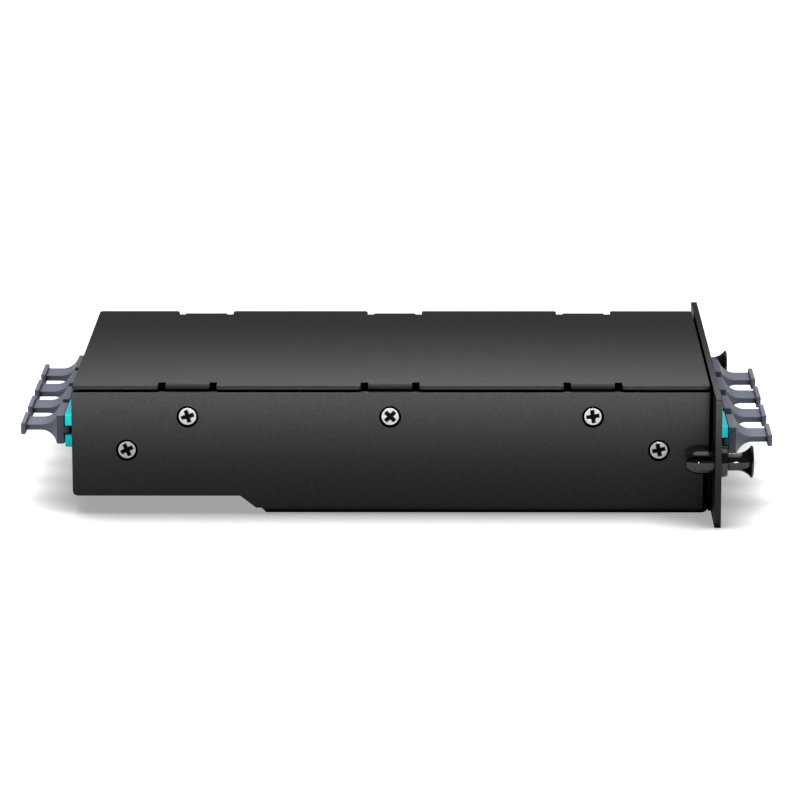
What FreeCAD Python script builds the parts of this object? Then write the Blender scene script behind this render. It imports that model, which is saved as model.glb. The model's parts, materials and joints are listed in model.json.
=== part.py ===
import FreeCAD, Part
import math
import os

# Fibre cassette: a folded steel tray with a screwed cover, four multi-fibre adapters in its front
# plate and four in its rear bracket, each closed by a dust cap, and two push-pull latches.
# Millimetres. Origin: centre of the front plate's rear face. +X points out of the front,
# +Z up, and Y runs along the front plate.

V = FreeCAD.Vector

# Front plate
PLATE_HEIGHT = 35.0
EAR_WIDTH = 15.0            # plate past each side wall
PLATE_CORNER = 0.6
PANEL_SHEET = 1.7           # gauge of the front plate and of the rear bracket

# Folded body
SIDE_SPACE = 5.75           # front end adapter to the side wall's outer face
BODY_LENGTH = 170.8         # side wall, rear end to front end
SHEET = 1.0                 # gauge of the tray and the cover
BRACKET_SHEET = 0.8
BEND = 0.6                  # inside radius of the folds
PLATE_OVERHANG = 0.2        # plate edge below the tray
COVER_RISE = 0.3            # cover above the plate's upper edge
COVER_AIR = 0.5             # side wall top to the cover's underside
FOLD_GAP = 0.1              # between nested folded pieces
SEAT_GAP = 0.06             # side wall end to the front bracket

# Raised rear part of the tray floor
RAISED_LENGTH = 45.0
RAISED_HEIGHT = 4.9
FOLD_TURN = 45              # degrees, each fold of the joggle
RAMP_RUN = 1.3              # length of the walls' ramp for each unit of its height
RELIEF_FLAT = 1.91          # free wall between its ramp and the folded channel
RELIEF_SLANT = 0.8
RELIEF_GAP = 0.3
REAR_CORNER = 1.4
NOTCH_LENGTH = 1.5          # relief between side wall and front lip
NOTCH_HEIGHT = 12.3
LIP_HEIGHT = 2.7

# Cover
COVER_REAR_INSET = 0.28
COVER_FRONT_LAP = 0.2
COVER_CORNER = 1.0
TAB_WIDTH = 11.9
TAB_NOTCH = 1.85
TAB_NOTCH_DEPTH = 4.7
TAB_BEND = 1.5
TAB_TAIL = 4.2              # tab length past its screw
MOUTH_ROUND = 0.5

# Screws
COVER_SCREW_SPACING = 54.3
COVER_SCREW_DROP = 8.45     # below the cover's top face
REAR_SCREW_INSET = 14.7
FRONT_SCREW_INSET = 13.4
BRACKET_SCREW_Z = 0.15
SCREW_HEAD = 4.8
SCREW_SINK_WIDTH = 5.9      # countersink at the wall face
SCREW_SHANK = 3.0
SCREW_LENGTH = 5.0
SCREW_GAP = 0.05
RECESS_SPAN = 3.5
RECESS_ARM = 0.75
RECESS_DEPTH = 0.9
COVER_SCREW_TURN = (17, 67, 45, 100, 8, 75)         # degrees, near and far in turn
BRACKET_SCREW_TURN = (25, 43, 12, 60)
COLLAR_WALL = 1.0
COLLAR_LENGTH = 1.2

# Brackets
FRONT_FLANGE = 21.0
REAR_FLANGE = 21.5
FLANGE_RISE = 0.5           # flange's lower edge above the walls' front notch
FLANGE_DROP = 7.8           # flange's upper edge below the cover's top face
REAR_FACE_INSET = 0.1
WINDOW_MARGIN = 3.4         # front bracket opening round the row of adapters
BRACKET_RELIEF = 0.5

# Ports
PORT_COUNT = 4
FRONT_PORT_SPACE = 5.5      # between neighbouring adapters
REAR_PORT_SPACE = 2.5
FRONT_PORT_Z = 1.05
REAR_PORT_Z = 3.2

# Adapter
ADAPTER_WIDTH = 18.0
ADAPTER_HEIGHT = 9.2
ADAPTER_PROUD = 2.8
ADAPTER_DEPTH = 20.0        # behind the panel's outer face
ADAPTER_NECK = 16.2         # width behind the panel's outer face
ADAPTER_CORNER = 0.45
CUTOUT_GAP = 0.1
PORT_WIDTH = 12.6
PORT_HEIGHT = 7.6
PORT_DEPTH = 9.8
CHANNEL_WIDTH = 6.8
CHANNEL_HEIGHT = 3.2
KEYWAY_WIDTH = 3.2
KEYWAY_DEPTH = 0.4
SIDE_NOTCH_HEIGHT = 2.6
SIDE_NOTCH_DEPTH = 2.1

# Adapter spring clip
CLIP_SHEET = 0.35
CLIP_LENGTH = 6.0
CLIP_START = 0.3            # behind the panel
CLIP_SEAT = 0.05
WING_REACH = 0.8
WING_HEIGHT = 3.0

# Dust cap
CAP_GAP = 0.3
CAP_WIDTH = 16.1
CAP_HEIGHT = 7.9
CAP_FLANGE = 2.15
CAP_LENGTH = 11.85          # flange's inner face to the tip
CAP_CORNER = 0.35
HORN_LENGTH = 4.3
STEM_WIDTH = 10.0
STEM_HEIGHT = 1.6
PULL_WIDTH = 14.0
PULL_HEIGHT = 3.2
PULL_THICKNESS = 1.3
PULL_EDGE = 0.35
PLUG_LENGTH = 8.0
PLUG_GAP = 0.2
PLUG_WALL = 1.0
TONGUE_LENGTH = 1.65
TONGUE_THICKNESS = 1.0
TONGUE_GAP = 0.2
TONGUE_ROUND = 0.5

# Panel latch
LATCH_INSET = 4.65          # latch centre to the plate's end
LATCH_Z = -0.45
LATCH_HOLE = 6.4
LATCH_FIT = 0.1
GROMMET_FLANGE = 8.4
GROMMET_THICKNESS = 1.7
GROMMET_TAPER = 0.25
GROMMET_EDGE = 0.3
BARREL_LENGTH = 7.4
BARREL_BULGE = 6.5
BULGE_PLACE = 4.2           # behind the plate
PRONG_SLOT = 1.2
PRONG_TURN = 29             # degrees, slots about the latch's axis
PRONG_ROOT = 0.9            # uncut barrel behind the plate
BARREL_SAG = 0.25           # share of its height the barrel's nose arc is lowered by
SHAFT_WIDTH = 3.0
SHAFT_FIT = 0.07
TIP_WIDTH = 3.7
TIP_LENGTH = 2.2            # spreading tip with its tapered nose
TIP_NOSE = 1.1
TIP_SLOPE = 0.45
TIP_ROOM = 0.2
COLLAR_DEPTH = 1.5          # grommet collar behind the plate's front face
LATCH_TRAVEL = 4.5
KNOB_NECK = 4.7
KNOB_NECK_LENGTH = 2.5
KNOB_WIDTH = 8.7
KNOB_LENGTH = 6.85
KNOB_RIM = 0.6
SMALL_GAP = 0.05

# Inner connector and lead
CONNECTOR_GAP = 0.15
FERRULE_WIDTH = 6.4
FERRULE_HEIGHT = 2.5
FERRULE_LENGTH = 1.4
SLEEVE_WIDTH = 13.2
SLEEVE_HEIGHT = 8.4
SLEEVE_LENGTH = 10.0
SLEEVE_ROUND = 0.6
CRIMP_WIDTH = 5.0
CRIMP_LENGTH = 3.0
BOOT_WIDTH = 7.2
BOOT_END = 4.4
BOOT_LENGTH = 15.0
LEAD_WIDTH = 3.0
LEAD_FIT = 0.1
# Lead guide
GUIDE_WEB = 3.0
GUIDE_FOOT = 10.0
GUIDE_FOOT_HEIGHT = 1.5
GUIDE_MARGIN = 6.0
GUIDE_RIM = 1.2             # comb above the lead's centre
GUIDE_SET = 6.0             # front boot's end to the front comb
GUIDE_STEP = 1.0            # foot of the floor's joggle to the rear comb
GUIDE_PAST = 2.0            # straight lead past each comb

# Worked-out places
FRONT_PITCH = ADAPTER_WIDTH + FRONT_PORT_SPACE
REAR_PITCH = ADAPTER_WIDTH + REAR_PORT_SPACE
BODY_WIDTH = (PORT_COUNT - 1) * FRONT_PITCH + ADAPTER_WIDTH + 2 * SIDE_SPACE
PLATE_WIDTH = BODY_WIDTH + 2 * EAR_WIDTH
LATCH_SPAN = PLATE_WIDTH - 2 * LATCH_INSET
HALF_BODY = BODY_WIDTH / 2
WALL_INSIDE = HALF_BODY - SHEET
NEST = WALL_INSIDE - FOLD_GAP           # outer face of the flanges and tabs
COVER_TOP = PLATE_HEIGHT / 2 + COVER_RISE
COVER_UNDER = COVER_TOP - SHEET
BASE_Z = -PLATE_HEIGHT / 2 + PLATE_OVERHANG
FLOOR_TOP = BASE_Z + SHEET
RAISED_TOP = FLOOR_TOP + RAISED_HEIGHT
WALL_TOP = COVER_UNDER - COVER_AIR
FLANGE_LOW = BASE_Z + NOTCH_HEIGHT + FLANGE_RISE
FLANGE_HIGH = COVER_TOP - FLANGE_DROP
WALL_FRONT = -BRACKET_SHEET - SEAT_GAP
WALL_REAR = WALL_FRONT - BODY_LENGTH
RAMP_REAR = WALL_REAR + RAISED_LENGTH
RAMP_FRONT = RAMP_REAR + (RAISED_HEIGHT - BEND - SHEET) * RAMP_RUN
RELIEF_X = RAMP_FRONT + RELIEF_FLAT     # side walls are free of the floor as far as here
REAR_FACE = WALL_REAR + REAR_FACE_INSET
COVER_SCREW_Z = COVER_TOP - COVER_SCREW_DROP
WALL_MIDDLE = (WALL_FRONT + WALL_REAR) / 2
COVER_SCREW_X = [WALL_MIDDLE + n * COVER_SCREW_SPACING for n in (-1, 0, 1)]
BRACKET_SCREW_X = [WALL_REAR + REAR_SCREW_INSET, WALL_FRONT - FRONT_SCREW_INSET]
SIDES = (-1, 1)
ARC_MIDDLE = 1 - math.sqrt(0.5)         # radius share from a rounded edge's middle to its tangents
COUNTERSINK = (SCREW_SINK_WIDTH - SCREW_HEAD) / 2
CAP_FACE = ADAPTER_PROUD + CAP_GAP
CONNECTOR_TAIL = ADAPTER_DEPTH + CONNECTOR_GAP + SLEEVE_LENGTH
LEAD_START = CONNECTOR_TAIL + CRIMP_LENGTH + SMALL_GAP
BOOT_TAIL = CONNECTOR_TAIL + SMALL_GAP + BOOT_LENGTH
REAR_GUIDE_X = RELIEF_X + RELIEF_SLANT + GUIDE_STEP + GUIDE_FOOT / 2
FRONT_GUIDE_X = PANEL_SHEET - BOOT_TAIL - GUIDE_SET


def box(x0, x1, y0, y1, z0, z1):
    """Block between two corners, given in either order."""
    low = V(min(x0, x1), min(y0, y1), min(z0, z1))
    return Part.makeBox(abs(x1 - x0), abs(y1 - y0), abs(z1 - z0), low)


def block(x0, x1, width, height, z=0.0):
    """Block along X, centred in Y and on height z."""
    return box(x0, x1, -width / 2, width / 2, z - height / 2, z + height / 2)


def face_of(points):
    """Flat face inside a closed polygon."""
    return Part.Face(Part.makePolygon(points + [points[0]]))


def rod(x0, x1, radius, y=0.0, z=0.0):
    """Cylinder along X."""
    return Part.makeCylinder(radius, x1 - x0, V(x0, y, z), V(1, 0, 0))


def edges_along(shape, axis, places):
    """Straight edges parallel to an axis that pass through the places on the other two axes."""
    others = [n for n in range(3) if n != axis]
    found = []
    for edge in shape.Edges:
        start = edge.Vertexes[0].Point
        end = edge.Vertexes[-1].Point
        for place in places:
            misses = [abs(p[o] - value) for p in (start, end) for o, value in zip(others, place)]
            if max(misses) < 1e-4:
                found.append(edge)
    return found


def rounded(shape, radius, axis, places):
    """Shape with the named straight edges rounded."""
    return shape.makeFillet(radius, edges_along(shape, axis, places))


def corners(a, b):
    """The four corners of a centred rectangle with half sizes a and b."""
    return [(sa * a, sb * b) for sa in SIDES for sb in SIDES]


def port_places(pitch):
    """Y of each port, from -Y to +Y."""
    return [(n - (PORT_COUNT - 1) / 2) * pitch for n in range(PORT_COUNT)]


def at_front(shape, y):
    """Move a port piece, drawn outward along +X from the panel's face, to the front plate."""
    moved = shape.copy()
    moved.translate(V(PANEL_SHEET, y, FRONT_PORT_Z))
    return moved


def at_rear(shape, y):
    """Turn a port piece round and move it to the rear bracket."""
    moved = shape.copy()
    moved.rotate(V(0, 0, 0), V(0, 0, 1), 180)
    moved.translate(V(REAR_FACE, y, REAR_PORT_Z))
    return moved


def wall_screw(shape, x, z, side):
    """Move a screw piece, drawn inward along +Y from the wall's face, to one side wall."""
    moved = shape.copy()
    if side > 0:
        moved.rotate(V(0, 0, 0), V(0, 0, 1), 180)
    moved.translate(V(x, side * HALF_BODY, z))
    return moved


def screw_hole():
    """Countersunk hole, through the wall and the sheet behind it."""
    radius = SCREW_SHANK / 2 + SCREW_GAP
    depth = SCREW_SINK_WIDTH / 2 - radius
    sink = Part.makeCone(SCREW_SINK_WIDTH / 2, radius, depth, V(0, 0, 0), V(0, 1, 0))
    hole = Part.makeCylinder(radius, SCREW_LENGTH + SHEET, V(0, 0, 0), V(0, 1, 0))
    return sink.fuse(hole)


def screw_collar(inset, sheet):
    """Drawn collar that carries the thread behind a sheet whose outer face is inset from the wall."""
    radius = SCREW_SHANK / 2 + COLLAR_WALL
    return Part.makeCylinder(radius, sheet + COLLAR_LENGTH, V(0, inset, 0), V(0, 1, 0))


def screw(turn):
    """Countersunk screw with a cross recess, turned by the given degrees."""
    head = SCREW_HEAD / 2
    shank = SCREW_SHANK / 2
    start = COUNTERSINK - SCREW_GAP
    cone = Part.makeCone(head, shank, head - shank, V(0, start, 0), V(0, 1, 0))
    body = Part.makeCylinder(shank, SCREW_LENGTH, V(0, start, 0), V(0, 1, 0))
    span = RECESS_SPAN / 2
    half = RECESS_ARM / 2
    arm = box(-span, span, start, start + RECESS_DEPTH, -half, half)
    cross = box(-half, half, start, start + RECESS_DEPTH, -span, span)
    made = cone.fuse(body).cut(arm.fuse(cross))
    made.rotate(V(0, 0, 0), V(0, 1, 0), turn)
    return made.removeSplitter()


def cut_screw_holes(shape, xs, z):
    """Shape with a screw hole at each X in both side walls."""
    for x in xs:
        for side in SIDES:
            shape = shape.cut(wall_screw(screw_hole(), x, z, side))
    return shape


def side_wall(side):
    """Rear stretch of one side wall, free of the raised floor, with its stepped lower edge."""
    low = BASE_Z + RAISED_HEIGHT
    relief = BASE_Z + BEND + SHEET
    outline = [(WALL_REAR, low), (RAMP_REAR, low), (RAMP_FRONT, relief), (RELIEF_X, relief),
               (RELIEF_X, WALL_TOP), (WALL_REAR, WALL_TOP)]
    wall = face_of([V(x, side * HALF_BODY, z) for x, z in outline])
    wall = wall.extrude(V(0, -side * SHEET, 0))
    return rounded(wall, REAR_CORNER, 1, [(WALL_REAR, low)])


def tray_channel():
    """Front stretch of the tray: floor and side walls folded from one sheet."""
    bend = BEND + SHEET
    outside = box(RELIEF_X, WALL_FRONT, -HALF_BODY, HALF_BODY, BASE_Z, WALL_TOP)
    outside = rounded(outside, bend, 0, [(s * HALF_BODY, BASE_Z) for s in SIDES])
    inside = box(RELIEF_X, WALL_FRONT, -WALL_INSIDE, WALL_INSIDE, FLOOR_TOP, WALL_TOP)
    inside = rounded(inside, BEND, 0, [(s * WALL_INSIDE, FLOOR_TOP) for s in SIDES])
    slant = face_of([V(RELIEF_X, -HALF_BODY, BASE_Z), V(RELIEF_X, -HALF_BODY, BASE_Z + bend),
                     V(RELIEF_X + RELIEF_SLANT, -HALF_BODY, BASE_Z)])
    return outside.cut(inside).cut(slant.extrude(V(0, BODY_WIDTH, 0)))


def raised_floor():
    """Rear floor, joggled up from the main floor by two folds."""
    foot = RELIEF_X + RELIEF_SLANT
    step = foot - RAISED_HEIGHT
    slant = SHEET * math.tan(math.radians(FOLD_TURN / 2))
    low = BASE_Z + RAISED_HEIGHT
    rear = REAR_FACE
    end = foot + SHEET
    outline = [(rear, low), (step, low), (foot, BASE_Z), (end, BASE_Z), (end, FLOOR_TOP),
               (foot + slant, FLOOR_TOP), (step + slant, RAISED_TOP), (rear, RAISED_TOP)]
    half = WALL_INSIDE - RELIEF_GAP
    floor = face_of([V(x, -half, z) for x, z in outline]).extrude(V(0, 2 * half, 0))
    floor = rounded(floor, BEND, 1, [(step, low), (foot + slant, FLOOR_TOP)])
    return rounded(floor, BEND + SHEET, 1, [(foot, BASE_Z), (step + slant, RAISED_TOP)])


def front_lip():
    """Lip folded up from the front edge of the floor."""
    half = WALL_INSIDE - BEND
    start = WALL_FRONT - 2 * (BEND + SHEET)
    top = BASE_Z + LIP_HEIGHT
    lip = box(start, WALL_FRONT, -half, half, BASE_Z, top)
    lip = rounded(lip, BEND + SHEET, 1, [(WALL_FRONT, BASE_Z)])
    room = box(start - SHEET, WALL_FRONT - SHEET, -half, half, FLOOR_TOP, top)
    return lip.cut(rounded(room, BEND, 1, [(WALL_FRONT - SHEET, FLOOR_TOP)]))


def base_tray():
    """Floor, side walls and front lip, one folded sheet."""
    tray = tray_channel()
    reach = HALF_BODY + 1
    half = WALL_INSIDE - BEND
    front = box(WALL_FRONT - NOTCH_LENGTH, WALL_FRONT + 1, -half, half, BASE_Z - 1, FLOOR_TOP + BEND)
    tray = tray.cut(front)
    for side in SIDES:
        notch = box(WALL_FRONT - NOTCH_LENGTH, WALL_FRONT + 1, side * half, side * reach,
                    BASE_Z - 1, BASE_Z + NOTCH_HEIGHT)
        tray = tray.cut(notch)
    tray = tray.fuse([front_lip(), raised_floor(), side_wall(-1), side_wall(1)]).removeSplitter()
    tray = cut_screw_holes(tray, COVER_SCREW_X, COVER_SCREW_Z)
    return cut_screw_holes(tray, BRACKET_SCREW_X, BRACKET_SCREW_Z)


def cover_tab(x, side):
    """Tab folded down from the cover, inside the side wall, with its threaded collar."""
    half = TAB_WIDTH / 2
    root = HALF_BODY - TAB_NOTCH_DEPTH
    tip = COVER_SCREW_Z - TAB_TAIL
    tab = box(x - half, x + half, root, NEST, tip, COVER_TOP)
    tab = rounded(tab, TAB_BEND + SHEET, 0, [(NEST, COVER_TOP)])
    room = box(x - half - 1, x + half + 1, root, NEST - SHEET, tip - 1, COVER_UNDER)
    tab = tab.cut(rounded(room, TAB_BEND, 0, [(NEST - SHEET, COVER_UNDER)]))
    tab = rounded(tab, SHEET, 1, [(x - half, tip), (x + half, tip)])
    if side < 0:
        tab = tab.mirror(V(0, 0, 0), V(0, 1, 0))
    collar = wall_screw(screw_collar(HALF_BODY - NEST, SHEET), x, COVER_SCREW_Z, side)
    return tab.fuse(collar)


def tab_notch(x, side):
    """Clearance round a tab: the edge is set back and slit on both sides of the fold."""
    half = TAB_WIDTH / 2 + TAB_NOTCH
    cut = box(x - half, x + half, side * (HALF_BODY - TAB_NOTCH_DEPTH), side * (HALF_BODY + 1),
              COVER_UNDER - 1, COVER_TOP + 1)
    flare = []
    for end in SIDES:
        tip = V(x + end * (half + MOUTH_ROUND), side * HALF_BODY, COVER_UNDER - 1)
        root = V(x + end * half, side * (HALF_BODY - MOUTH_ROUND), COVER_UNDER - 1)
        mouth = V(x + end * half, side * HALF_BODY, COVER_UNDER - 1)
        flare.append(face_of([tip, root, mouth]).extrude(V(0, 0, SHEET + 2)))
    return cut.fuse(flare)


def top_cover():
    """Flat cover with three screwed tabs folded down along each side."""
    rear = WALL_REAR + COVER_REAR_INSET
    front = WALL_FRONT + COVER_FRONT_LAP
    cover = box(rear, front, -HALF_BODY, HALF_BODY, COVER_UNDER, COVER_TOP)
    cover = rounded(cover, COVER_CORNER, 2, [(x, s * HALF_BODY) for x in (rear, front) for s in SIDES])
    for x in COVER_SCREW_X:
        for side in SIDES:
            cover = cover.cut(tab_notch(x, side)).fuse(cover_tab(x, side))
    return cut_screw_holes(cover.removeSplitter(), COVER_SCREW_X, COVER_SCREW_Z)


def cutout(x0, x1):
    """Panel opening for one adapter."""
    return block(x0, x1, ADAPTER_NECK + 2 * CUTOUT_GAP, ADAPTER_HEIGHT + 2 * CUTOUT_GAP)


def front_plate():
    """Flat front plate with adapter openings and latch holes."""
    plate = block(0, PANEL_SHEET, PLATE_WIDTH, PLATE_HEIGHT)
    plate = rounded(plate, PLATE_CORNER, 0, corners(PLATE_WIDTH / 2, PLATE_HEIGHT / 2))
    for y in port_places(FRONT_PITCH):
        plate = plate.cut(at_front(cutout(-PANEL_SHEET - 1, 1), y))
    for side in SIDES:
        plate = plate.cut(rod(-1, PANEL_SHEET + 1, LATCH_HOLE / 2, side * LATCH_SPAN / 2, LATCH_Z))
    return plate


def folded_bracket(web, length, sheet, bottom, top):
    """Cross wall at X = web with a flange folded back along each side wall, towards the middle."""
    way = 1 if length > 0 else -1
    bend = BEND + sheet
    inner = NEST - sheet
    made = box(web, web + length, -NEST, NEST, bottom, top)
    made = rounded(made, bend, 2, [(web, s * NEST) for s in SIDES])
    room = box(web + way * sheet, web + length + way, -inner, inner, bottom - 1, top + 1)
    made = made.cut(rounded(room, BEND, 2, [(web + way * sheet, s * inner) for s in SIDES]))
    edge = NEST - bend - BRACKET_RELIEF
    for side in SIDES:
        for low, high in ((bottom - 1, FLANGE_LOW), (FLANGE_HIGH, top + 1)):
            made = made.cut(box(web - way, web + length + way, side * edge, side * (NEST + 1), low, high))
    return made


def add_bracket_screws(bracket, x, sheet):
    """Bracket with its threaded collars and holes."""
    for side in SIDES:
        bracket = bracket.fuse(wall_screw(screw_collar(HALF_BODY - NEST, sheet), x, BRACKET_SCREW_Z, side))
    return cut_screw_holes(bracket.removeSplitter(), [x], BRACKET_SCREW_Z)


def front_bracket():
    """Thin bracket welded behind the front plate, open round the adapters."""
    bottom = BASE_Z + SEAT_GAP
    made = folded_bracket(0.0, -FRONT_FLANGE, BRACKET_SHEET, bottom, WALL_TOP)
    row = (PORT_COUNT - 1) * FRONT_PITCH + ADAPTER_NECK
    window = block(-BRACKET_SHEET - 1, 1, row + 2 * WINDOW_MARGIN, ADAPTER_HEIGHT + 2 * WINDOW_MARGIN)
    window.translate(V(0, 0, FRONT_PORT_Z))
    made = made.cut(window)
    return add_bracket_screws(made, BRACKET_SCREW_X[1], BRACKET_SHEET)


def rear_bracket():
    """Rear wall with the rear adapter openings and a flange along each side wall."""
    made = folded_bracket(REAR_FACE, REAR_FLANGE, PANEL_SHEET, RAISED_TOP, COVER_UNDER - FOLD_GAP)
    for y in port_places(REAR_PITCH):
        made = made.cut(at_rear(cutout(-PANEL_SHEET - 1, 1), y))
    return add_bracket_screws(made, BRACKET_SCREW_X[0], PANEL_SHEET)


def cover_screws():
    """The six screws through the side walls into the cover's tabs."""
    places = [(x, side) for x in COVER_SCREW_X for side in SIDES]
    turned_screws = zip(COVER_SCREW_TURN, places)
    return Part.makeCompound([wall_screw(screw(turn), x, COVER_SCREW_Z, side)
                              for turn, (x, side) in turned_screws])


def bracket_screws():
    """The four screws through the side walls into the bracket flanges."""
    places = [(x, side) for x in BRACKET_SCREW_X for side in SIDES]
    turned_screws = zip(BRACKET_SCREW_TURN, places)
    return Part.makeCompound([wall_screw(screw(turn), x, BRACKET_SCREW_Z, side)
                              for turn, (x, side) in turned_screws])


def clip_groove(sheet):
    """Room for the spring clip over the top and sides of an adapter, or the clip's own saddle."""
    start = -PANEL_SHEET - CLIP_START
    inner_half = ADAPTER_NECK / 2 - CLIP_SHEET - CLIP_SEAT
    inner_top = ADAPTER_HEIGHT / 2 - CLIP_SHEET - CLIP_SEAT
    low = -ADAPTER_HEIGHT / 2
    if sheet:
        start -= CLIP_SEAT
        inner_half += CLIP_SEAT
        inner_top += CLIP_SEAT
        low += CLIP_SEAT
    end = start - CLIP_LENGTH if sheet else start - CLIP_LENGTH - 2 * CLIP_SEAT
    outer_half = inner_half + CLIP_SHEET if sheet else ADAPTER_NECK / 2 + 1
    outer_top = inner_top + CLIP_SHEET if sheet else ADAPTER_HEIGHT / 2 + 1
    outside = box(end, start, -outer_half, outer_half, low, outer_top)
    inside = box(end, start, -inner_half, inner_half, low, inner_top)
    return outside.cut(inside)


def adapter():
    """Multi-fibre adapter: shoulder outside the panel, keyed pocket at both ends, ferrule channel."""
    shoulder = block(0, ADAPTER_PROUD, ADAPTER_WIDTH, ADAPTER_HEIGHT)
    shoulder = rounded(shoulder, ADAPTER_CORNER, 0, corners(ADAPTER_WIDTH / 2, ADAPTER_HEIGHT / 2))
    neck = block(-ADAPTER_DEPTH, 0, ADAPTER_NECK, ADAPTER_HEIGHT)
    body = shoulder.fuse(neck)
    body = body.cut(block(ADAPTER_PROUD - PORT_DEPTH, ADAPTER_PROUD, PORT_WIDTH, PORT_HEIGHT))
    body = body.cut(block(-ADAPTER_DEPTH, PORT_DEPTH - ADAPTER_DEPTH, PORT_WIDTH, PORT_HEIGHT))
    body = body.cut(block(-ADAPTER_DEPTH, ADAPTER_PROUD, CHANNEL_WIDTH, CHANNEL_HEIGHT))
    keyway = PORT_HEIGHT / 2 + KEYWAY_DEPTH / 2
    body = body.cut(block(ADAPTER_PROUD - PORT_DEPTH, ADAPTER_PROUD, KEYWAY_WIDTH, KEYWAY_DEPTH, keyway))
    body = body.cut(block(-ADAPTER_DEPTH, PORT_DEPTH - ADAPTER_DEPTH, KEYWAY_WIDTH, KEYWAY_DEPTH, keyway))
    body = body.cut(block(ADAPTER_PROUD - SIDE_NOTCH_DEPTH, ADAPTER_PROUD, ADAPTER_WIDTH, SIDE_NOTCH_HEIGHT))
    return body.cut(clip_groove(False))


def adapter_clip():
    """Sprung saddle over the adapter, with a wing on each side that bears behind the panel."""
    saddle = clip_groove(True)
    start = -PANEL_SHEET - CLIP_START - CLIP_SEAT
    leg = ADAPTER_NECK / 2
    root = start - CLIP_LENGTH + CLIP_SHEET
    tip = -PANEL_SHEET - CLIP_SEAT
    wings = []
    for side in SIDES:
        outline = [(root, leg - CLIP_SHEET), (tip, leg + WING_REACH - CLIP_SHEET), (tip, leg + WING_REACH),
                   (root, leg)]
        wing = face_of([V(x, side * y, -WING_HEIGHT / 2) for x, y in outline])
        wings.append(wing.extrude(V(0, 0, WING_HEIGHT)))
    return saddle.fuse(wings).removeSplitter()


def horn_outline(half_root, half_stem, plane):
    """Closed face of the cap's horn and stem in one plane: straight stem, arc that flares to the flange."""
    root = CAP_FACE + CAP_FLANGE
    neck = root + HORN_LENGTH
    end = CAP_FACE + CAP_LENGTH - PULL_THICKNESS
    rise = half_root - half_stem
    radius = (HORN_LENGTH ** 2 + rise ** 2) / (2 * rise)
    turn = math.asin(HORN_LENGTH / radius) / 2
    mid_x = neck - radius * math.sin(turn)
    mid_y = half_stem + radius * (1 - math.cos(turn))
    edges = []
    for s in SIDES:
        foot = plane(neck, s * half_stem)
        edges.append(Part.Arc(plane(root, s * half_root), plane(mid_x, s * mid_y), foot).toShape())
        edges.append(Part.LineSegment(foot, plane(end, s * half_stem)).toShape())
    edges.append(Part.LineSegment(plane(root, -half_root), plane(root, half_root)).toShape())
    edges.append(Part.LineSegment(plane(end, -half_stem), plane(end, half_stem)).toShape())
    return Part.Face(Part.Wire(Part.__sortEdges__(edges)))


def cap_horn():
    """Flared neck and flat stem, curved both in plan and in side view."""
    plan = horn_outline(CAP_WIDTH / 2 - CAP_CORNER, STEM_WIDTH / 2, lambda x, y: V(x, y, -CAP_HEIGHT))
    side = horn_outline(CAP_HEIGHT / 2 - CAP_CORNER, STEM_HEIGHT / 2, lambda x, z: V(x, -CAP_WIDTH, z))
    return plan.extrude(V(0, 0, 2 * CAP_HEIGHT)).common(side.extrude(V(0, 2 * CAP_WIDTH, 0)))


def dust_cap():
    """Moulded cap: hollow plug, flange with two side tongues, horn, stem and pull bar."""
    flange = block(CAP_FACE, CAP_FACE + CAP_FLANGE, CAP_WIDTH, CAP_HEIGHT)
    flange = rounded(flange, CAP_CORNER, 0, corners(CAP_WIDTH / 2, CAP_HEIGHT / 2))
    end = CAP_FACE + CAP_LENGTH
    pull = block(end - PULL_THICKNESS, end, PULL_WIDTH, PULL_HEIGHT)
    pull = pull.makeChamfer(PULL_EDGE, pull.Edges)
    plug_width = PORT_WIDTH - 2 * PLUG_GAP
    plug_height = PORT_HEIGHT - 2 * PLUG_GAP
    plug = block(CAP_FACE - PLUG_LENGTH, CAP_FACE, plug_width, plug_height)
    hollow = block(CAP_FACE - PLUG_LENGTH, CAP_FACE - PLUG_WALL, plug_width - 2 * PLUG_WALL,
                   plug_height - 2 * PLUG_WALL)
    parts = [plug.cut(hollow), cap_horn(), pull]
    for side in SIDES:
        low = TONGUE_GAP - SIDE_NOTCH_HEIGHT / 2
        tongue = box(CAP_FACE - TONGUE_LENGTH, CAP_FACE, side * (CAP_WIDTH / 2 - TONGUE_THICKNESS),
                     side * CAP_WIDTH / 2, low, -low)
        parts.append(rounded(tongue, TONGUE_ROUND, 1, [(CAP_FACE - TONGUE_LENGTH, z) for z in (low, -low)]))
    return flange.fuse(parts).removeSplitter()


def turned(profile):
    """Solid of revolution about the X axis, from edges in the XY plane above it."""
    wire = Part.Wire(Part.__sortEdges__(profile))
    return Part.Face(wire).revolve(V(0, 0, 0), V(1, 0, 0), 360)


def polyline(points):
    """Straight edges through (x, radius) points."""
    pairs = zip(points[:-1], points[1:])
    return [Part.LineSegment(V(*a, 0), V(*b, 0)).toShape() for a, b in pairs]


def arc(a, b, c):
    """Arc edge through three (x, radius) points."""
    return Part.Arc(V(*a, 0), V(*b, 0), V(*c, 0)).toShape()


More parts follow.
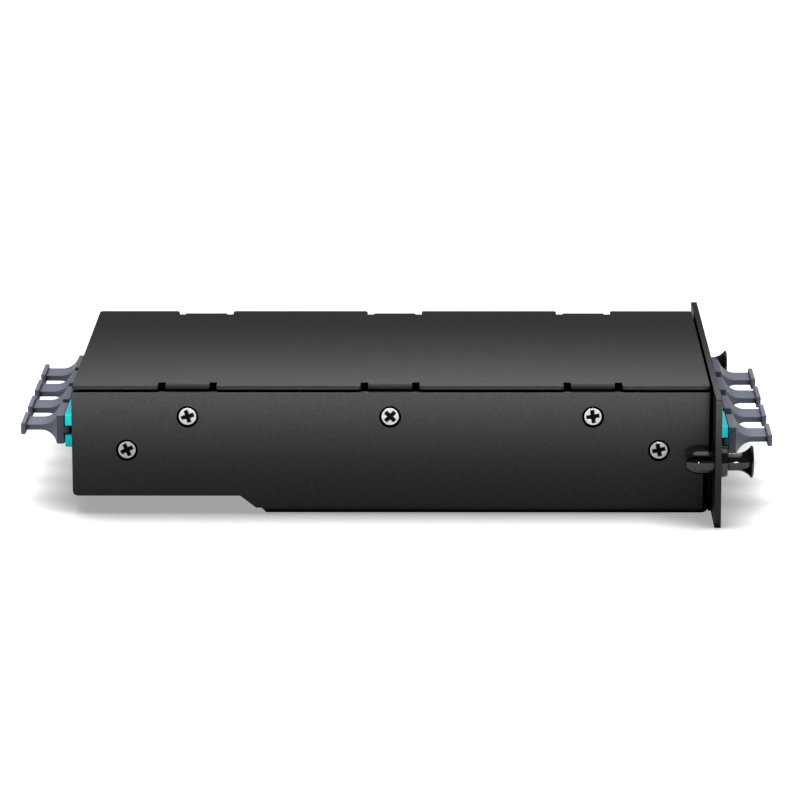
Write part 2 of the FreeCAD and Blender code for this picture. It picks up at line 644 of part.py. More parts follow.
def latch_grommet(y):
    """Flanged bush with a split, bulged barrel that snaps through the plate."""
    seat = PANEL_SHEET + SMALL_GAP
    face = seat + GROMMET_THICKNESS
    outer = GROMMET_FLANGE / 2
    rim = outer - GROMMET_TAPER
    barrel = LATCH_HOLE / 2 - LATCH_FIT
    bore = SHAFT_WIDTH / 2 + SHAFT_FIT
    room = TIP_WIDTH / 2 + TIP_ROOM
    collar = PANEL_SHEET - COLLAR_DEPTH
    bulge = BARREL_BULGE / 2
    nose = SHAFT_WIDTH / 2 - SHAFT_FIT
    nose_wall = BARREL_LENGTH - (bulge - room)
    profile = polyline([(-BARREL_LENGTH, room - SMALL_GAP), (-BARREL_LENGTH, nose), (-nose_wall, nose),
                        (-nose_wall, room), (collar, room), (collar, bore), (face, bore),
                        (face, rim - GROMMET_EDGE)])
    edge = ARC_MIDDLE * GROMMET_EDGE
    profile.append(arc((face, rim - GROMMET_EDGE), (face - edge, rim - edge), (face - GROMMET_EDGE, rim)))
    profile += polyline([(face - GROMMET_EDGE, rim), (seat, outer), (seat, barrel), (-SMALL_GAP, barrel),
                         (-BULGE_PLACE, bulge)])
    middle = (BULGE_PLACE + BARREL_LENGTH) / 2
    sag = BARREL_SAG * (bulge - room) + SMALL_GAP
    profile.append(arc((-BULGE_PLACE, bulge), (-middle, bulge - sag), (-BARREL_LENGTH, room - SMALL_GAP)))
    made = turned(profile)
    for width, height in ((PRONG_SLOT, BARREL_BULGE + 1), (BARREL_BULGE + 1, PRONG_SLOT)):
        made = made.cut(block(-BARREL_LENGTH - 1, -PRONG_ROOT, width, height))
    made.rotate(V(0, 0, 0), V(1, 0, 0), -PRONG_TURN)
    made.translate(V(0, y, LATCH_Z))
    return made


def latch_plunger(y):
    """Trumpet-shaped knob with a shaft whose tip spreads the grommet's prongs."""
    start = PANEL_SHEET + GROMMET_THICKNESS + 2 * SMALL_GAP
    neck = KNOB_NECK / 2
    knob = KNOB_WIDTH / 2
    flare = start + KNOB_NECK_LENGTH
    end = start + KNOB_LENGTH
    rim = end - KNOB_RIM
    shaft = SHAFT_WIDTH / 2
    tip = TIP_WIDTH / 2
    shoulder = PANEL_SHEET - COLLAR_DEPTH - LATCH_TRAVEL - TIP_ROOM
    nose = shoulder - TIP_LENGTH
    profile = polyline([(end, 0), (nose, 0), (nose, shaft / 2), (nose + TIP_NOSE, tip),
                        (shoulder - TIP_SLOPE, tip), (shoulder, shaft), (start, shaft), (start, neck),
                        (flare, neck)])
    run = rim - flare
    rise = knob - neck
    radius = (run ** 2 + rise ** 2) / (2 * rise)
    half_turn = math.asin(run / radius) / 2
    middle = (flare + radius * math.sin(half_turn), neck + radius * (1 - math.cos(half_turn)))
    profile.append(arc((flare, neck), middle, (rim, knob)))
    edge = ARC_MIDDLE * KNOB_RIM
    profile.append(arc((rim, knob), (end - edge, knob - edge), (end, knob - KNOB_RIM)))
    profile += polyline([(end, knob - KNOB_RIM), (end, 0)])
    made = turned(profile)
    made.translate(V(0, y, LATCH_Z))
    return made


def inner_connector():
    """Connector held in the inner pocket of an adapter: keyed housing, ferrule, grip sleeve, crimp."""
    nose = PORT_DEPTH - ADAPTER_DEPTH - CONNECTOR_GAP
    back = -ADAPTER_DEPTH - CONNECTOR_GAP
    width = PORT_WIDTH - 2 * CONNECTOR_GAP
    height = PORT_HEIGHT - 2 * CONNECTOR_GAP
    housing = block(back, nose, width, height)
    key = block(back, nose - KEYWAY_WIDTH, KEYWAY_WIDTH - 2 * CONNECTOR_GAP, KEYWAY_DEPTH,
                (height + KEYWAY_DEPTH) / 2)
    ferrule = block(nose, nose + FERRULE_LENGTH, FERRULE_WIDTH, FERRULE_HEIGHT)
    sleeve = block(back - SLEEVE_LENGTH, back, SLEEVE_WIDTH, SLEEVE_HEIGHT)
    sleeve = rounded(sleeve, SLEEVE_ROUND, 0, corners(SLEEVE_WIDTH / 2, SLEEVE_HEIGHT / 2))
    crimp = rod(back - SLEEVE_LENGTH - CRIMP_LENGTH, back - SLEEVE_LENGTH, CRIMP_WIDTH / 2)
    return housing.fuse([key, ferrule, sleeve, crimp]).removeSplitter()


def boot():
    """Tapered strain relief over the crimp and the lead."""
    start = -CONNECTOR_TAIL - SMALL_GAP
    end = -BOOT_TAIL
    step = start - CRIMP_LENGTH - SMALL_GAP
    wide = CRIMP_WIDTH / 2 + LEAD_FIT
    narrow = LEAD_WIDTH / 2 + LEAD_FIT
    outside = BOOT_WIDTH / 2
    return turned(polyline([(start, wide), (start, outside), (step, outside), (end, BOOT_END / 2),
                            (end, narrow), (step, narrow), (step, wide), (start, wide)]))


def fibre_lead(rear_y, front_y):
    """Round lead between two connectors: straight out of each boot, with an even S-bend between."""
    start = V(REAR_FACE + LEAD_START, rear_y, REAR_PORT_Z)
    end = V(PANEL_SHEET - LEAD_START, front_y, FRONT_PORT_Z)
    leave = V(REAR_GUIDE_X + GUIDE_WEB / 2 + GUIDE_PAST, rear_y, REAR_PORT_Z)
    enter = V(FRONT_GUIDE_X - GUIDE_WEB / 2 - GUIDE_PAST, front_y, FRONT_PORT_Z)
    shift = V(0, front_y - rear_y, FRONT_PORT_Z - REAR_PORT_Z)
    run = enter.x - leave.x
    radius = (run ** 2 + shift.Length ** 2) / (4 * shift.Length)
    turn = math.asin(run / 2 / radius) / 2
    along = V(radius * math.sin(turn), 0, 0)
    aside = V(shift).normalize() * (radius * (1 - math.cos(turn)))
    middle = (leave + enter) * 0.5
    path = [Part.LineSegment(start, leave), Part.Arc(leave, leave + along + aside, middle),
            Part.Arc(middle, enter - along - aside, enter), Part.LineSegment(enter, end)]
    spine = Part.Wire([piece.toShape() for piece in path])
    section = Part.Wire(Part.makeCircle(LEAD_WIDTH / 2, start, V(1, 0, 0)))
    return spine.makePipeShell([section], True, False)


def lead_guide(x, pitch, lead_z):
    """Moulded comb that stands on the floor and holds the leads in open-topped slots."""
    half = (PORT_COUNT - 1) * pitch / 2 + GUIDE_MARGIN
    reach = GUIDE_FOOT / 2
    foot = box(x - reach, x + reach, -half, half, FLOOR_TOP, FLOOR_TOP + GUIDE_FOOT_HEIGHT)
    web = box(x - GUIDE_WEB / 2, x + GUIDE_WEB / 2, -half, half, FLOOR_TOP, lead_z + GUIDE_RIM)
    comb = foot.fuse(web)
    radius = LEAD_WIDTH / 2 + LEAD_FIT
    for y in port_places(pitch):
        comb = comb.cut(rod(x - GUIDE_WEB, x + GUIDE_WEB, radius, y, lead_z))
        comb = comb.cut(box(x - GUIDE_WEB, x + GUIDE_WEB, y - radius, y + radius, lead_z, COVER_TOP))
    return comb.removeSplitter()


def build():
    """Every sub-part by node name."""
    front = port_places(FRONT_PITCH)
    rear = port_places(REAR_PITCH)
    parts = {
        "base_tray": base_tray(),
        "top_cover": top_cover(),
        "front_plate": front_plate(),
        "front_bracket": front_bracket(),
        "rear_bracket": rear_bracket(),
        "cover_screws": cover_screws(),
        "bracket_screws": bracket_screws(),
        "front_adapter_clips": Part.makeCompound([at_front(adapter_clip(), y) for y in front]),
        "rear_adapter_clips": Part.makeCompound([at_rear(adapter_clip(), y) for y in rear]),
        "rear_lead_guide": lead_guide(REAR_GUIDE_X, REAR_PITCH, REAR_PORT_Z),
        "front_lead_guide": lead_guide(FRONT_GUIDE_X, FRONT_PITCH, FRONT_PORT_Z),
    }
    for name, side in (("near", -1), ("far", 1)):
        parts[name + "_latch_grommet"] = latch_grommet(side * LATCH_SPAN / 2)
        parts[name + "_latch_plunger"] = latch_plunger(side * LATCH_SPAN / 2)
    port_pieces = {"adapter": adapter(), "dust_cap": dust_cap(), "inner_connector": inner_connector(),
                   "boot": boot()}
    for n in range(PORT_COUNT):
        for name, shape in port_pieces.items():
            parts["front_%s_%d" % (name, n + 1)] = at_front(shape, front[n])
            parts["rear_%s_%d" % (name, n + 1)] = at_rear(shape, rear[n])
        parts["fibre_lead_%d" % (n + 1)] = fibre_lead(rear[n], front[n])
    return parts


os.makedirs("parts", exist_ok=True)
for node, shape in build().items():
    shape.exportStep("parts/" + node + ".step")
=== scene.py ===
"""Fibre cassette: finishes, moulded pieces and a plain stage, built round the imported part."""
import json
import math

import bmesh
import bpy
import numpy as np
from bpy.props import FloatProperty, FloatVectorProperty, IntProperty, PointerProperty
from mathutils import Matrix, Vector

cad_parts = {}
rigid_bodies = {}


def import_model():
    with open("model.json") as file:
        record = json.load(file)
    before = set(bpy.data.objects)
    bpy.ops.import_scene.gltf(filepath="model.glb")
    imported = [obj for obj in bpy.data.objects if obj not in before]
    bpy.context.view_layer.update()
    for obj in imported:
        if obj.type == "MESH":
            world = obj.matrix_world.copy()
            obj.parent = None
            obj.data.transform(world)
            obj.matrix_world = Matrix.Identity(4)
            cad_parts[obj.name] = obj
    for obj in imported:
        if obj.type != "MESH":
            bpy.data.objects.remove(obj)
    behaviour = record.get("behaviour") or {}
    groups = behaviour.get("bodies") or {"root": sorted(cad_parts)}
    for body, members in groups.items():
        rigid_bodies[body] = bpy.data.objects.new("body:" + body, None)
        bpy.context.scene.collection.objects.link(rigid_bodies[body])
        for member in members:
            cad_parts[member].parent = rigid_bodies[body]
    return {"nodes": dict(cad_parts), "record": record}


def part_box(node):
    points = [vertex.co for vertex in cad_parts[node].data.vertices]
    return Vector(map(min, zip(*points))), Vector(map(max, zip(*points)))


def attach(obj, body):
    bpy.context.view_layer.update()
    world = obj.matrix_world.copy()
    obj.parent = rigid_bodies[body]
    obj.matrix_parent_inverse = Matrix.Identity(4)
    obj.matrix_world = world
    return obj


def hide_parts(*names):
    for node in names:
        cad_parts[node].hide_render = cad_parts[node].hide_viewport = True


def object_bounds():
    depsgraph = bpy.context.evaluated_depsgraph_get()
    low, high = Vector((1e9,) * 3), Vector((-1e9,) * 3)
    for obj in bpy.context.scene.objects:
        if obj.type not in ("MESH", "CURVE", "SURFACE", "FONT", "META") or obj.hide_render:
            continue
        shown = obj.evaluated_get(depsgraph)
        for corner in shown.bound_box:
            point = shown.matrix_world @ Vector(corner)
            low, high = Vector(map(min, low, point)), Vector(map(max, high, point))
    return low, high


bl_info = {
    "name": "Fibre Cassette",
    "version": (1, 0, 0),
    "blender": (4, 5, 0),
    "location": "View3D > Sidebar > Cassette",
    "description": "Finishes a folded-steel fibre cassette with its caps, adapters and latches",
    "category": "Object",
}

MM = 0.001
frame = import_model()
CAD_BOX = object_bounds()
NODES = frame["nodes"]
BODY_OF = {node: body for body, nodes in frame["record"]["behaviour"]["bodies"].items() for node in nodes}
SLOT_OF = {part["node"]: part["material_slot"] for part in frame["record"]["subparts"]}
PORTS = range(1, 5)
ENDS = {"front": 1, "rear": -1}
SHEETS = ("base_tray", "top_cover", "front_plate", "front_bracket", "rear_bracket")
RECESS_TURNS = {"cover_screws": (17, 45, 8, 67, 100, 75), "bracket_screws": (25, 12, 43, 60)}  # degrees
SAME_POINT = 0.002 * MM     # nearer mesh points are one
SHARP = math.radians(40)    # edges of the sheets and adapters that are rounded


# Sizes and colours a user would change

class CapSettings(bpy.types.PropertyGroup):
    """Sizes of the moulded dust cap."""
    flange_width: FloatProperty(
        name="Flange width", description="Along the front plate", default=16.1 * MM, unit="LENGTH")
    flange_height: FloatProperty(
        name="Flange height", description="Upright size of the flange", default=7.9 * MM, unit="LENGTH")
    flange_depth: FloatProperty(
        name="Flange depth", description="Thickness along the port", default=2.15 * MM, unit="LENGTH")
    length: FloatProperty(name="Length", description="Flange's inner face to the pull bar's outer face",
                          default=11.85 * MM, unit="LENGTH")
    horn_length: FloatProperty(
        name="Neck length", description="Flared part between flange and stem", default=4.3 * MM, unit="LENGTH")
    stem_width: FloatProperty(
        name="Stem width", description="Flat stem, along the plate", default=10.0 * MM, unit="LENGTH")
    stem_height: FloatProperty(
        name="Stem height", description="Flat stem, upright", default=1.6 * MM, unit="LENGTH")
    pull_width: FloatProperty(
        name="Pull width", description="Bar that the fingers hold", default=14.0 * MM, unit="LENGTH")
    pull_height: FloatProperty(
        name="Pull height", description="Bar that the fingers hold", default=3.2 * MM, unit="LENGTH")
    pull_depth: FloatProperty(
        name="Pull depth", description="Bar thickness along the port", default=1.3 * MM, unit="LENGTH")
    edge: FloatProperty(
        name="Edge", description="Rounding of the moulded edges", default=0.35 * MM, unit="LENGTH")
    plug_length: FloatProperty(
        name="Plug length", description="Hollow plug inside the port", default=8.0 * MM, unit="LENGTH")
    plug_width: FloatProperty(
        name="Plug width", description="Hollow plug inside the port", default=12.2 * MM, unit="LENGTH")
    plug_height: FloatProperty(
        name="Plug height", description="Hollow plug inside the port", default=7.2 * MM, unit="LENGTH")
    plug_wall: FloatProperty(
        name="Plug wall", description="Wall of the hollow plug", default=1.0 * MM, unit="LENGTH")
    tongue_length: FloatProperty(
        name="Tongue length", description="Side tongue in the adapter's notch", default=1.65 * MM, unit="LENGTH")
    tongue_depth: FloatProperty(
        name="Tongue thickness", description="Side tongue, along the plate", default=1.0 * MM, unit="LENGTH")
    tongue_height: FloatProperty(
        name="Tongue height", description="Side tongue, upright", default=2.2 * MM, unit="LENGTH")
    arc_steps: IntProperty(name="Arc steps", description="Facets along each curve", default=14, min=4)
    tongue_set: FloatProperty(name="Tongue set-in", description="Tongue's outer face under the flange's side",
                              default=0.04 * MM, unit="LENGTH")


class LatchSettings(bpy.types.PropertyGroup):
    """Sizes of the push-pull latch: trumpet knob, flanged bush and split barrel."""
    knob_width: FloatProperty(
        name="Knob width", description="Across the flared end", default=8.7 * MM, unit="LENGTH")
    neck_width: FloatProperty(
        name="Neck width", description="Across the straight neck", default=4.7 * MM, unit="LENGTH")
    neck_length: FloatProperty(
        name="Neck length", description="Straight part behind the flare", default=2.5 * MM, unit="LENGTH")
    knob_length: FloatProperty(
        name="Knob length", description="Neck and flare", default=6.85 * MM, unit="LENGTH")
    rim: FloatProperty(
        name="Rim", description="Rounding of the knob's end", default=0.6 * MM, unit="LENGTH")
    shaft_width: FloatProperty(
        name="Shaft width", description="Shaft through the bush", default=3.0 * MM, unit="LENGTH")
    tip_width: FloatProperty(
        name="Tip width", description="Tip that spreads the prongs", default=3.7 * MM, unit="LENGTH")
    tip_length: FloatProperty(
        name="Tip length", description="Spreading tip with its tapered nose", default=2.2 * MM, unit="LENGTH")
    flange_width: FloatProperty(
        name="Flange width", description="Across the bush's flange", default=8.4 * MM, unit="LENGTH")
    flange_depth: FloatProperty(
        name="Flange depth", description="Thickness of the flange", default=1.7 * MM, unit="LENGTH")
    flange_taper: FloatProperty(
        name="Flange taper", description="Flange narrower at its outer face", default=0.25 * MM, unit="LENGTH")
    flange_edge: FloatProperty(
        name="Flange edge", description="Rounding of the flange's outer edge", default=0.3 * MM, unit="LENGTH")
    barrel_width: FloatProperty(
        name="Barrel width", description="Across the barrel in the plate", default=6.2 * MM, unit="LENGTH")
    bulge_width: FloatProperty(
        name="Bulge width", description="Across the barrel's widest place", default=6.5 * MM, unit="LENGTH")
    bulge_place: FloatProperty(
        name="Bulge place", description="Behind the plate's rear face", default=4.2 * MM, unit="LENGTH")
    bore_width: FloatProperty(
        name="Bore width", description="Across the shaft's bore", default=3.14 * MM, unit="LENGTH")
    room_width: FloatProperty(
        name="Room width", description="Between the prongs, round the tip", default=4.1 * MM, unit="LENGTH")
    root: FloatProperty(
        name="Prong root", description="Uncut barrel behind the plate", default=0.9 * MM, unit="LENGTH")
    slot: FloatProperty(
        name="Slot", description="Gap between neighbouring prongs", default=1.2 * MM, unit="LENGTH")
    turn: FloatProperty(
        name="Turn", description="Slots turned about the latch's axis", default=math.radians(-29), subtype="ANGLE")
    edge: FloatProperty(
        name="Edge", description="Rounding of the moulded edges", default=0.12 * MM, unit="LENGTH")
    lip: FloatProperty(
        name="Prong lip", description="Thick end of each prong, along the barrel", default=1.2 * MM, unit="LENGTH")
    gap: FloatProperty(
        name="Gap", description="Between the plate, the bush and the knob", default=0.05 * MM, unit="LENGTH")
    collar: FloatProperty(
        name="Collar", description="Bore behind the plate's front face", default=1.5 * MM, unit="LENGTH")
    round_steps: IntProperty(name="Round steps", description="Facets round the axis", default=96, min=12)
    arc_steps: IntProperty(name="Arc steps", description="Facets along each curve", default=16, min=4)


class ScrewSettings(bpy.types.PropertyGroup):
    """Sizes of the countersunk screw with its cross recess."""
    head_width: FloatProperty(
        name="Head width", description="Across the head's face", default=4.8 * MM, unit="LENGTH")
    sink_width: FloatProperty(
        name="Countersink", description="Across the mouth of the countersink", default=5.96 * MM, unit="LENGTH")
    shank_width: FloatProperty(
        name="Shank width", description="Across the shank", default=3.0 * MM, unit="LENGTH")
    edge: FloatProperty(
        name="Edge", description="Rounding of the head's rim", default=0.15 * MM, unit="LENGTH")
    span: FloatProperty(name="Recess span", description="From the end of one arm to the end of the opposite one",
                        default=3.6 * MM, unit="LENGTH")
    arm: FloatProperty(name="Recess arm", description="Width of each arm", default=1.15 * MM, unit="LENGTH")
    depth: FloatProperty(
        name="Recess depth", description="At the middle of the cross", default=1.1 * MM, unit="LENGTH")
    slope: FloatProperty(
        name="Recess slope", description="Width of the recess's sloping sides", default=0.28 * MM, unit="LENGTH")
    rings: IntProperty(name="Rings", description="Facets from the middle of the head to its rim", default=40, min=8)
    round_steps: IntProperty(name="Round steps", description="Facets round the axis", default=144, min=16)


class EdgeSettings(bpy.types.PropertyGroup):
    """Softness of the edges under the coatings."""
    rim_drop: FloatProperty(name="Rim drop", description="Tops of the tray's walls set down from the cover",
                            default=0.2 * MM, unit="LENGTH")
    sheet: FloatProperty(
        name="Coated sheet", description="Rounding of the coated sheet edges", default=0.28 * MM, unit="LENGTH")
    moulding: FloatProperty(
        name="Moulding", description="Rounding of the moulded edges", default=0.14 * MM, unit="LENGTH")


class ColourSettings(bpy.types.PropertyGroup):
    """Colours of the finishes."""
    coat: FloatVectorProperty(name="Powder coat", description="Satin black coat on the steel",
                              default=(0.030, 0.030, 0.0304), subtype="COLOR", size=3)
    adapter: FloatVectorProperty(
        name="Adapter", description="Aqua moulding", default=(0.0, 0.93, 1.0), subtype="COLOR", size=3)
    cap: FloatVectorProperty(
        name="Dust cap", description="Blue-grey moulding", default=(0.33, 0.35, 0.45), subtype="COLOR", size=3)
    nylon: FloatVectorProperty(
        name="Latch", description="Black nylon", default=(0.008, 0.008, 0.0085), subtype="COLOR", size=3)
    nickel: FloatVectorProperty(
        name="Screw", description="Bright nickel plate", default=(0.27, 0.267, 0.26), subtype="COLOR", size=3)
    jacket: FloatVectorProperty(
        name="Lead", description="Aqua lead jacket", default=(0.0, 0.55, 0.60), subtype="COLOR", size=3)


class StageSettings(bpy.types.PropertyGroup):
    """Camera and light round the cassette."""
    distance: FloatProperty(
        name="Camera distance", description="From the middle of the view", default=1.2574, unit="LENGTH")
    elevation: FloatProperty(
        name="Elevation", description="Camera above the horizon", default=math.radians(12.73), subtype="ANGLE")
    azimuth: FloatProperty(
        name="Azimuth", description="Camera turned round the cassette", default=math.radians(0.692), subtype="ANGLE")
    lens: FloatProperty(name="Lens", description="Focal length in millimetres", default=202.93)
    roll: FloatProperty(name="Roll", description="Camera turned about its own line of sight",
                        default=math.radians(-0.126), subtype="ANGLE")
    aim: FloatVectorProperty(name="Aim", description="Middle of the view from the box's centre",
                             default=(0.72 * MM, 0.0, 2.57 * MM), subtype="TRANSLATION", size=3)


class LightSettings(bpy.types.PropertyGroup):
    """Levels and places of the lights."""
    floor_tone: FloatProperty(name="Floor tone", description="Share of light the floor gives back", default=1.55)
    floor_bounce: FloatProperty(
        name="Floor bounce", description="Share that it gives back to the object", default=0.15)
    # The floor's dark at the foot of things is a painted contact shadow: ambient occlusion within this reach darkens
    # its tone.
    contact_reach: FloatProperty(name="Contact reach", description="Width of the dark floor at the foot of things",
                                 default=20 * MM, unit="LENGTH")
    floor_lift: FloatProperty(name="Floor lift", description="Glow added where the floor is seen", default=0.36)
    sky: FloatProperty(name="Sky", description="Even light from all round", default=0.35)
    sky_gloss: FloatProperty(name="Sky in gloss", description="Sky as reflections see it", default=0.1)
    sun: FloatProperty(name="Overhead", description="Light from behind and above", default=1.2)
    sun_elevation: FloatProperty(
        name="Overhead elevation", description="Above the horizon behind", default=math.radians(75), subtype="ANGLE")
    sun_softness: FloatProperty(name="Overhead softness", description="Angle across the overhead light",
                                default=math.radians(55), subtype="ANGLE")
    strip_length: FloatProperty(
        name="Strip length", description="Strip lamps, along the cassette", default=0.9, unit="LENGTH")
    strip_height: FloatProperty(
        name="Strip height", description="Strip lamps, across", default=0.02, unit="LENGTH")
    wall_distance: FloatProperty(
        name="Wall strip distance", description="In front of the near wall", default=0.55, unit="LENGTH")
    wall_rise: FloatProperty(name="Wall strip rise", description="Above its aim", default=0.03, unit="LENGTH")
    wall_lift: FloatProperty(
        name="Wall strip lift", description="Its aim above the near upper edge", default=0.014, unit="LENGTH")
    wall_spread: FloatProperty(
        name="Wall strip spread", description="Angle across its beam", default=math.radians(7.5), subtype="ANGLE")
    wall_power: FloatProperty(name="Wall strip power", description="Watts", default=0.185)
    top_distance: FloatProperty(
        name="Top strip distance", description="From its aim", default=0.7, unit="LENGTH")
    top_elevation: FloatProperty(
        name="Top strip elevation", description="Above the horizon behind", default=math.radians(20), subtype="ANGLE")
    top_lift: FloatProperty(name="Top strip lift", description="Its beam's middle above the near upper edge",
                            default=0.102, unit="LENGTH")
    top_spread: FloatProperty(
        name="Top strip spread", description="Angle across its beam", default=math.radians(23.5), subtype="ANGLE")
    top_power: FloatProperty(name="Top strip power", description="Watts", default=0.168)


def settings():
    """All settings of the scene."""
    return bpy.context.scene.cassette


# Node helpers

def new_material(name):
    """Empty node material with a Principled shader: (material, nodes, links, shader)."""
    material = bpy.data.materials.new(name)
    material.use_nodes = True
    nodes = material.node_tree.nodes
    return material, nodes, material.node_tree.links, nodes["Principled BSDF"]


def feed(links, slot, value):
    """Give a node's input a number, or the output of another node."""
    if isinstance(value, bpy.types.NodeSocket):
        links.new(value, slot)
    else:
        slot.default_value = value


def maths(nodes, links, operation, *values):
    """Output of a math node on numbers or on the outputs of other nodes."""
    node = nodes.new("ShaderNodeMath")
    node.operation = operation
    for slot, value in zip(node.inputs, values):
        feed(links, slot, value)
    return node.outputs[0]


def noise(nodes, links, cell, detail=2.0, roughness=0.5):
    """Noise on Object coordinates whose cells measure about the given size in metres."""
    place = nodes.new("ShaderNodeTexCoord")
    pattern = nodes.new("ShaderNodeTexNoise")
    pattern.inputs["Scale"].default_value = 1.0 / cell
    pattern.inputs["Detail"].default_value = detail
    pattern.inputs["Roughness"].default_value = roughness
    links.new(place.outputs["Object"], pattern.inputs["Vector"])
    return pattern.outputs["Fac"]


def spread(nodes, links, value, low, high, start=0.3, end=0.7):
    """Remap the part of a pattern between start and end to a range of numbers."""
    remap = nodes.new("ShaderNodeMapRange")
    for name, number in (("Value", value), ("From Min", start), ("From Max", end), ("To Min", low), ("To Max", high)):
        feed(links, remap.inputs[name], number)
    return remap.outputs["Result"]


def tones(nodes, links, value, dark, light, start=0.3, end=0.7):
    """Blend between two colours by a pattern."""
    ramp = nodes.new("ShaderNodeValToRGB")
    ramp.color_ramp.elements[0].position = start
    ramp.color_ramp.elements[0].color = (*dark, 1)
    ramp.color_ramp.elements[1].position = end
    ramp.color_ramp.elements[1].color = (*light, 1)
    links.new(value, ramp.inputs["Fac"])
    return ramp.outputs["Color"]


def bump(nodes, links, height, depth, normal=None):
    """Bump of the given depth in metres."""
    node = nodes.new("ShaderNodeBump")
    node.inputs["Distance"].default_value = depth
    links.new(height, node.inputs["Height"])
    if normal is not None:
        links.new(normal, node.inputs["Normal"])
    return node.outputs["Normal"]


def scaled(colour, factor):
    """Colour made lighter or darker."""
    return tuple(min(1.0, c * factor) for c in colour)


# Finishes

def openness(nodes, links, reach, dark, light):
    """0 to 1 as the share of open directions within reach goes from dark to light: the level of painted shade in
    corners and gaps.
    """
    occlusion = nodes.new("ShaderNodeAmbientOcclusion")
    occlusion.samples = 8
    occlusion.inputs["Distance"].default_value = reach
    return spread(nodes, links, occlusion.outputs["AO"], 0.0, 1.0, dark, light)


def shade(nodes, links, shader, level, colour, gloss, black=0.0):
    """Painted shade: colour that goes to black, and gloss that goes to nothing, as the level falls from 1 to 0."""
    blend = nodes.new("ShaderNodeMix")
    blend.data_type = "RGBA"
    blend.inputs["A"].default_value = (black, black, black, 1)
    links.new(level, blend.inputs["Factor"])
    links.new(colour, blend.inputs["B"])
    links.new(blend.outputs["Result"], shader.inputs["Base Color"])
    links.new(spread(nodes, links, level, 0.0, gloss, 0.0, 1.0), shader.inputs["Specular IOR Level"])


def powder_coat(colour):
    """Satin black powder coat: fine grain over a slow orange peel, with small light and dark specks, and painted
    shade.
    """
    material, nodes, links, shader = new_material("powder_coat")
    grain = noise(nodes, links, 0.42 * MM, 3.0, 0.6)
    peel = noise(nodes, links, 1.6 * MM, 1.0)
    speck = noise(nodes, links, 0.8 * MM, 4.0, 0.7)
    # Painted shade: the mesh's painted shade mark and ambient occlusion within 3 mm darken the colour and gloss.
    mark = nodes.new("ShaderNodeAttribute")
    mark.attribute_name = "painted_shade"
    unshaded_level = maths(nodes, links, "SUBTRACT", openness(nodes, links, 3 * MM, 0.45, 0.95), mark.outputs["Fac"])
    unshaded_level.node.use_clamp = True
    shade(nodes, links, shader, unshaded_level,
          tones(nodes, links, speck, scaled(colour, 0.8), scaled(colour, 1.2), 0.32, 0.68), 0.2)
    links.new(spread(nodes, links, grain, 0.46, 0.54), shader.inputs["Roughness"])
    normal = bump(nodes, links, peel, 0.006 * MM)
    links.new(bump(nodes, links, grain, 0.01 * MM, normal), shader.inputs["Normal"])
    return material


def moulding(name, colour, low, high, cell, depth, contrast=0.06, gloss=0.5, reach=4 * MM, closed=0.2):
    """Moulded plastic: an even colour with a slight flow mottle and a finely eroded surface.

    It takes painted shade where what lies within reach closes it in, down to black at the closed level."""
    material, nodes, links, shader = new_material(name)
    flow = noise(nodes, links, 5 * MM, 2.0)
    skin = noise(nodes, links, cell, 3.0, 0.6)
    # Painted shade from ambient occlusion within reach darkens the colour and gloss.
    shade(nodes, links, shader, openness(nodes, links, reach, closed, closed + 0.6),
          tones(nodes, links, flow, scaled(colour, 1 - contrast), scaled(colour, 1 + contrast)), gloss)
    links.new(spread(nodes, links, skin, low, high), shader.inputs["Roughness"])
    shader.inputs["IOR"].default_value = 1.5
    links.new(bump(nodes, links, skin, depth), shader.inputs["Normal"])
    return material


def bare_metal(name, colour, low, high):
    """Plated or rolled metal: fine scratches drawn along X over a slow change in polish."""
    material, nodes, links, shader = new_material(name)
    place = nodes.new("ShaderNodeTexCoord")
    stretch = nodes.new("ShaderNodeMapping")
    stretch.inputs["Scale"].default_value = (400, 4500, 4500)
    scratch = nodes.new("ShaderNodeTexNoise")
    scratch.inputs["Scale"].default_value = 1.0
    scratch.inputs["Detail"].default_value = 3.0
    links.new(place.outputs["Object"], stretch.inputs["Vector"])
    links.new(stretch.outputs["Vector"], scratch.inputs["Vector"])
    wear = noise(nodes, links, 2 * MM)
    links.new(tones(nodes, links, wear, scaled(colour, 0.9), colour), shader.inputs["Base Color"])
    links.new(spread(nodes, links, scratch.outputs["Fac"], low, high), shader.inputs["Roughness"])
    shader.inputs["Metallic"].default_value = 1.0
    links.new(bump(nodes, links, scratch.outputs["Fac"], 0.004 * MM), shader.inputs["Normal"])
    return material


def plated_screw(colour, face, depth):
    """Bright plate on the head, with painted shade that takes it to black down the recess.

    The heads' faces lie in two upright planes at Y = plus and minus face. Below the face by the given
    depth the painted shade is full: the plate is black and no longer metallic."""
    material = bare_metal("nickel_steel", colour, 0.3, 0.42)
    nodes, links = material.node_tree.nodes, material.node_tree.links
    shader = nodes["Principled BSDF"]
    place = nodes.new("ShaderNodeTexCoord")
    split = nodes.new("ShaderNodeSeparateXYZ")
    links.new(place.outputs["Object"], split.inputs["Vector"])
    across = maths(nodes, links, "ABSOLUTE", split.outputs["Y"])
    # Painted shade: colour, gloss and metal fade to black down the recess.
    recess_unshaded = spread(nodes, links, across, 0.0, 1.0, face - depth, face - 0.2 * depth)
    plate = shader.inputs["Base Color"].links[0].from_socket
    shade(nodes, links, shader, recess_unshaded, plate, 0.5, 0.008)
    links.new(recess_unshaded, shader.inputs["Metallic"])
    return material


FINISHES = {}


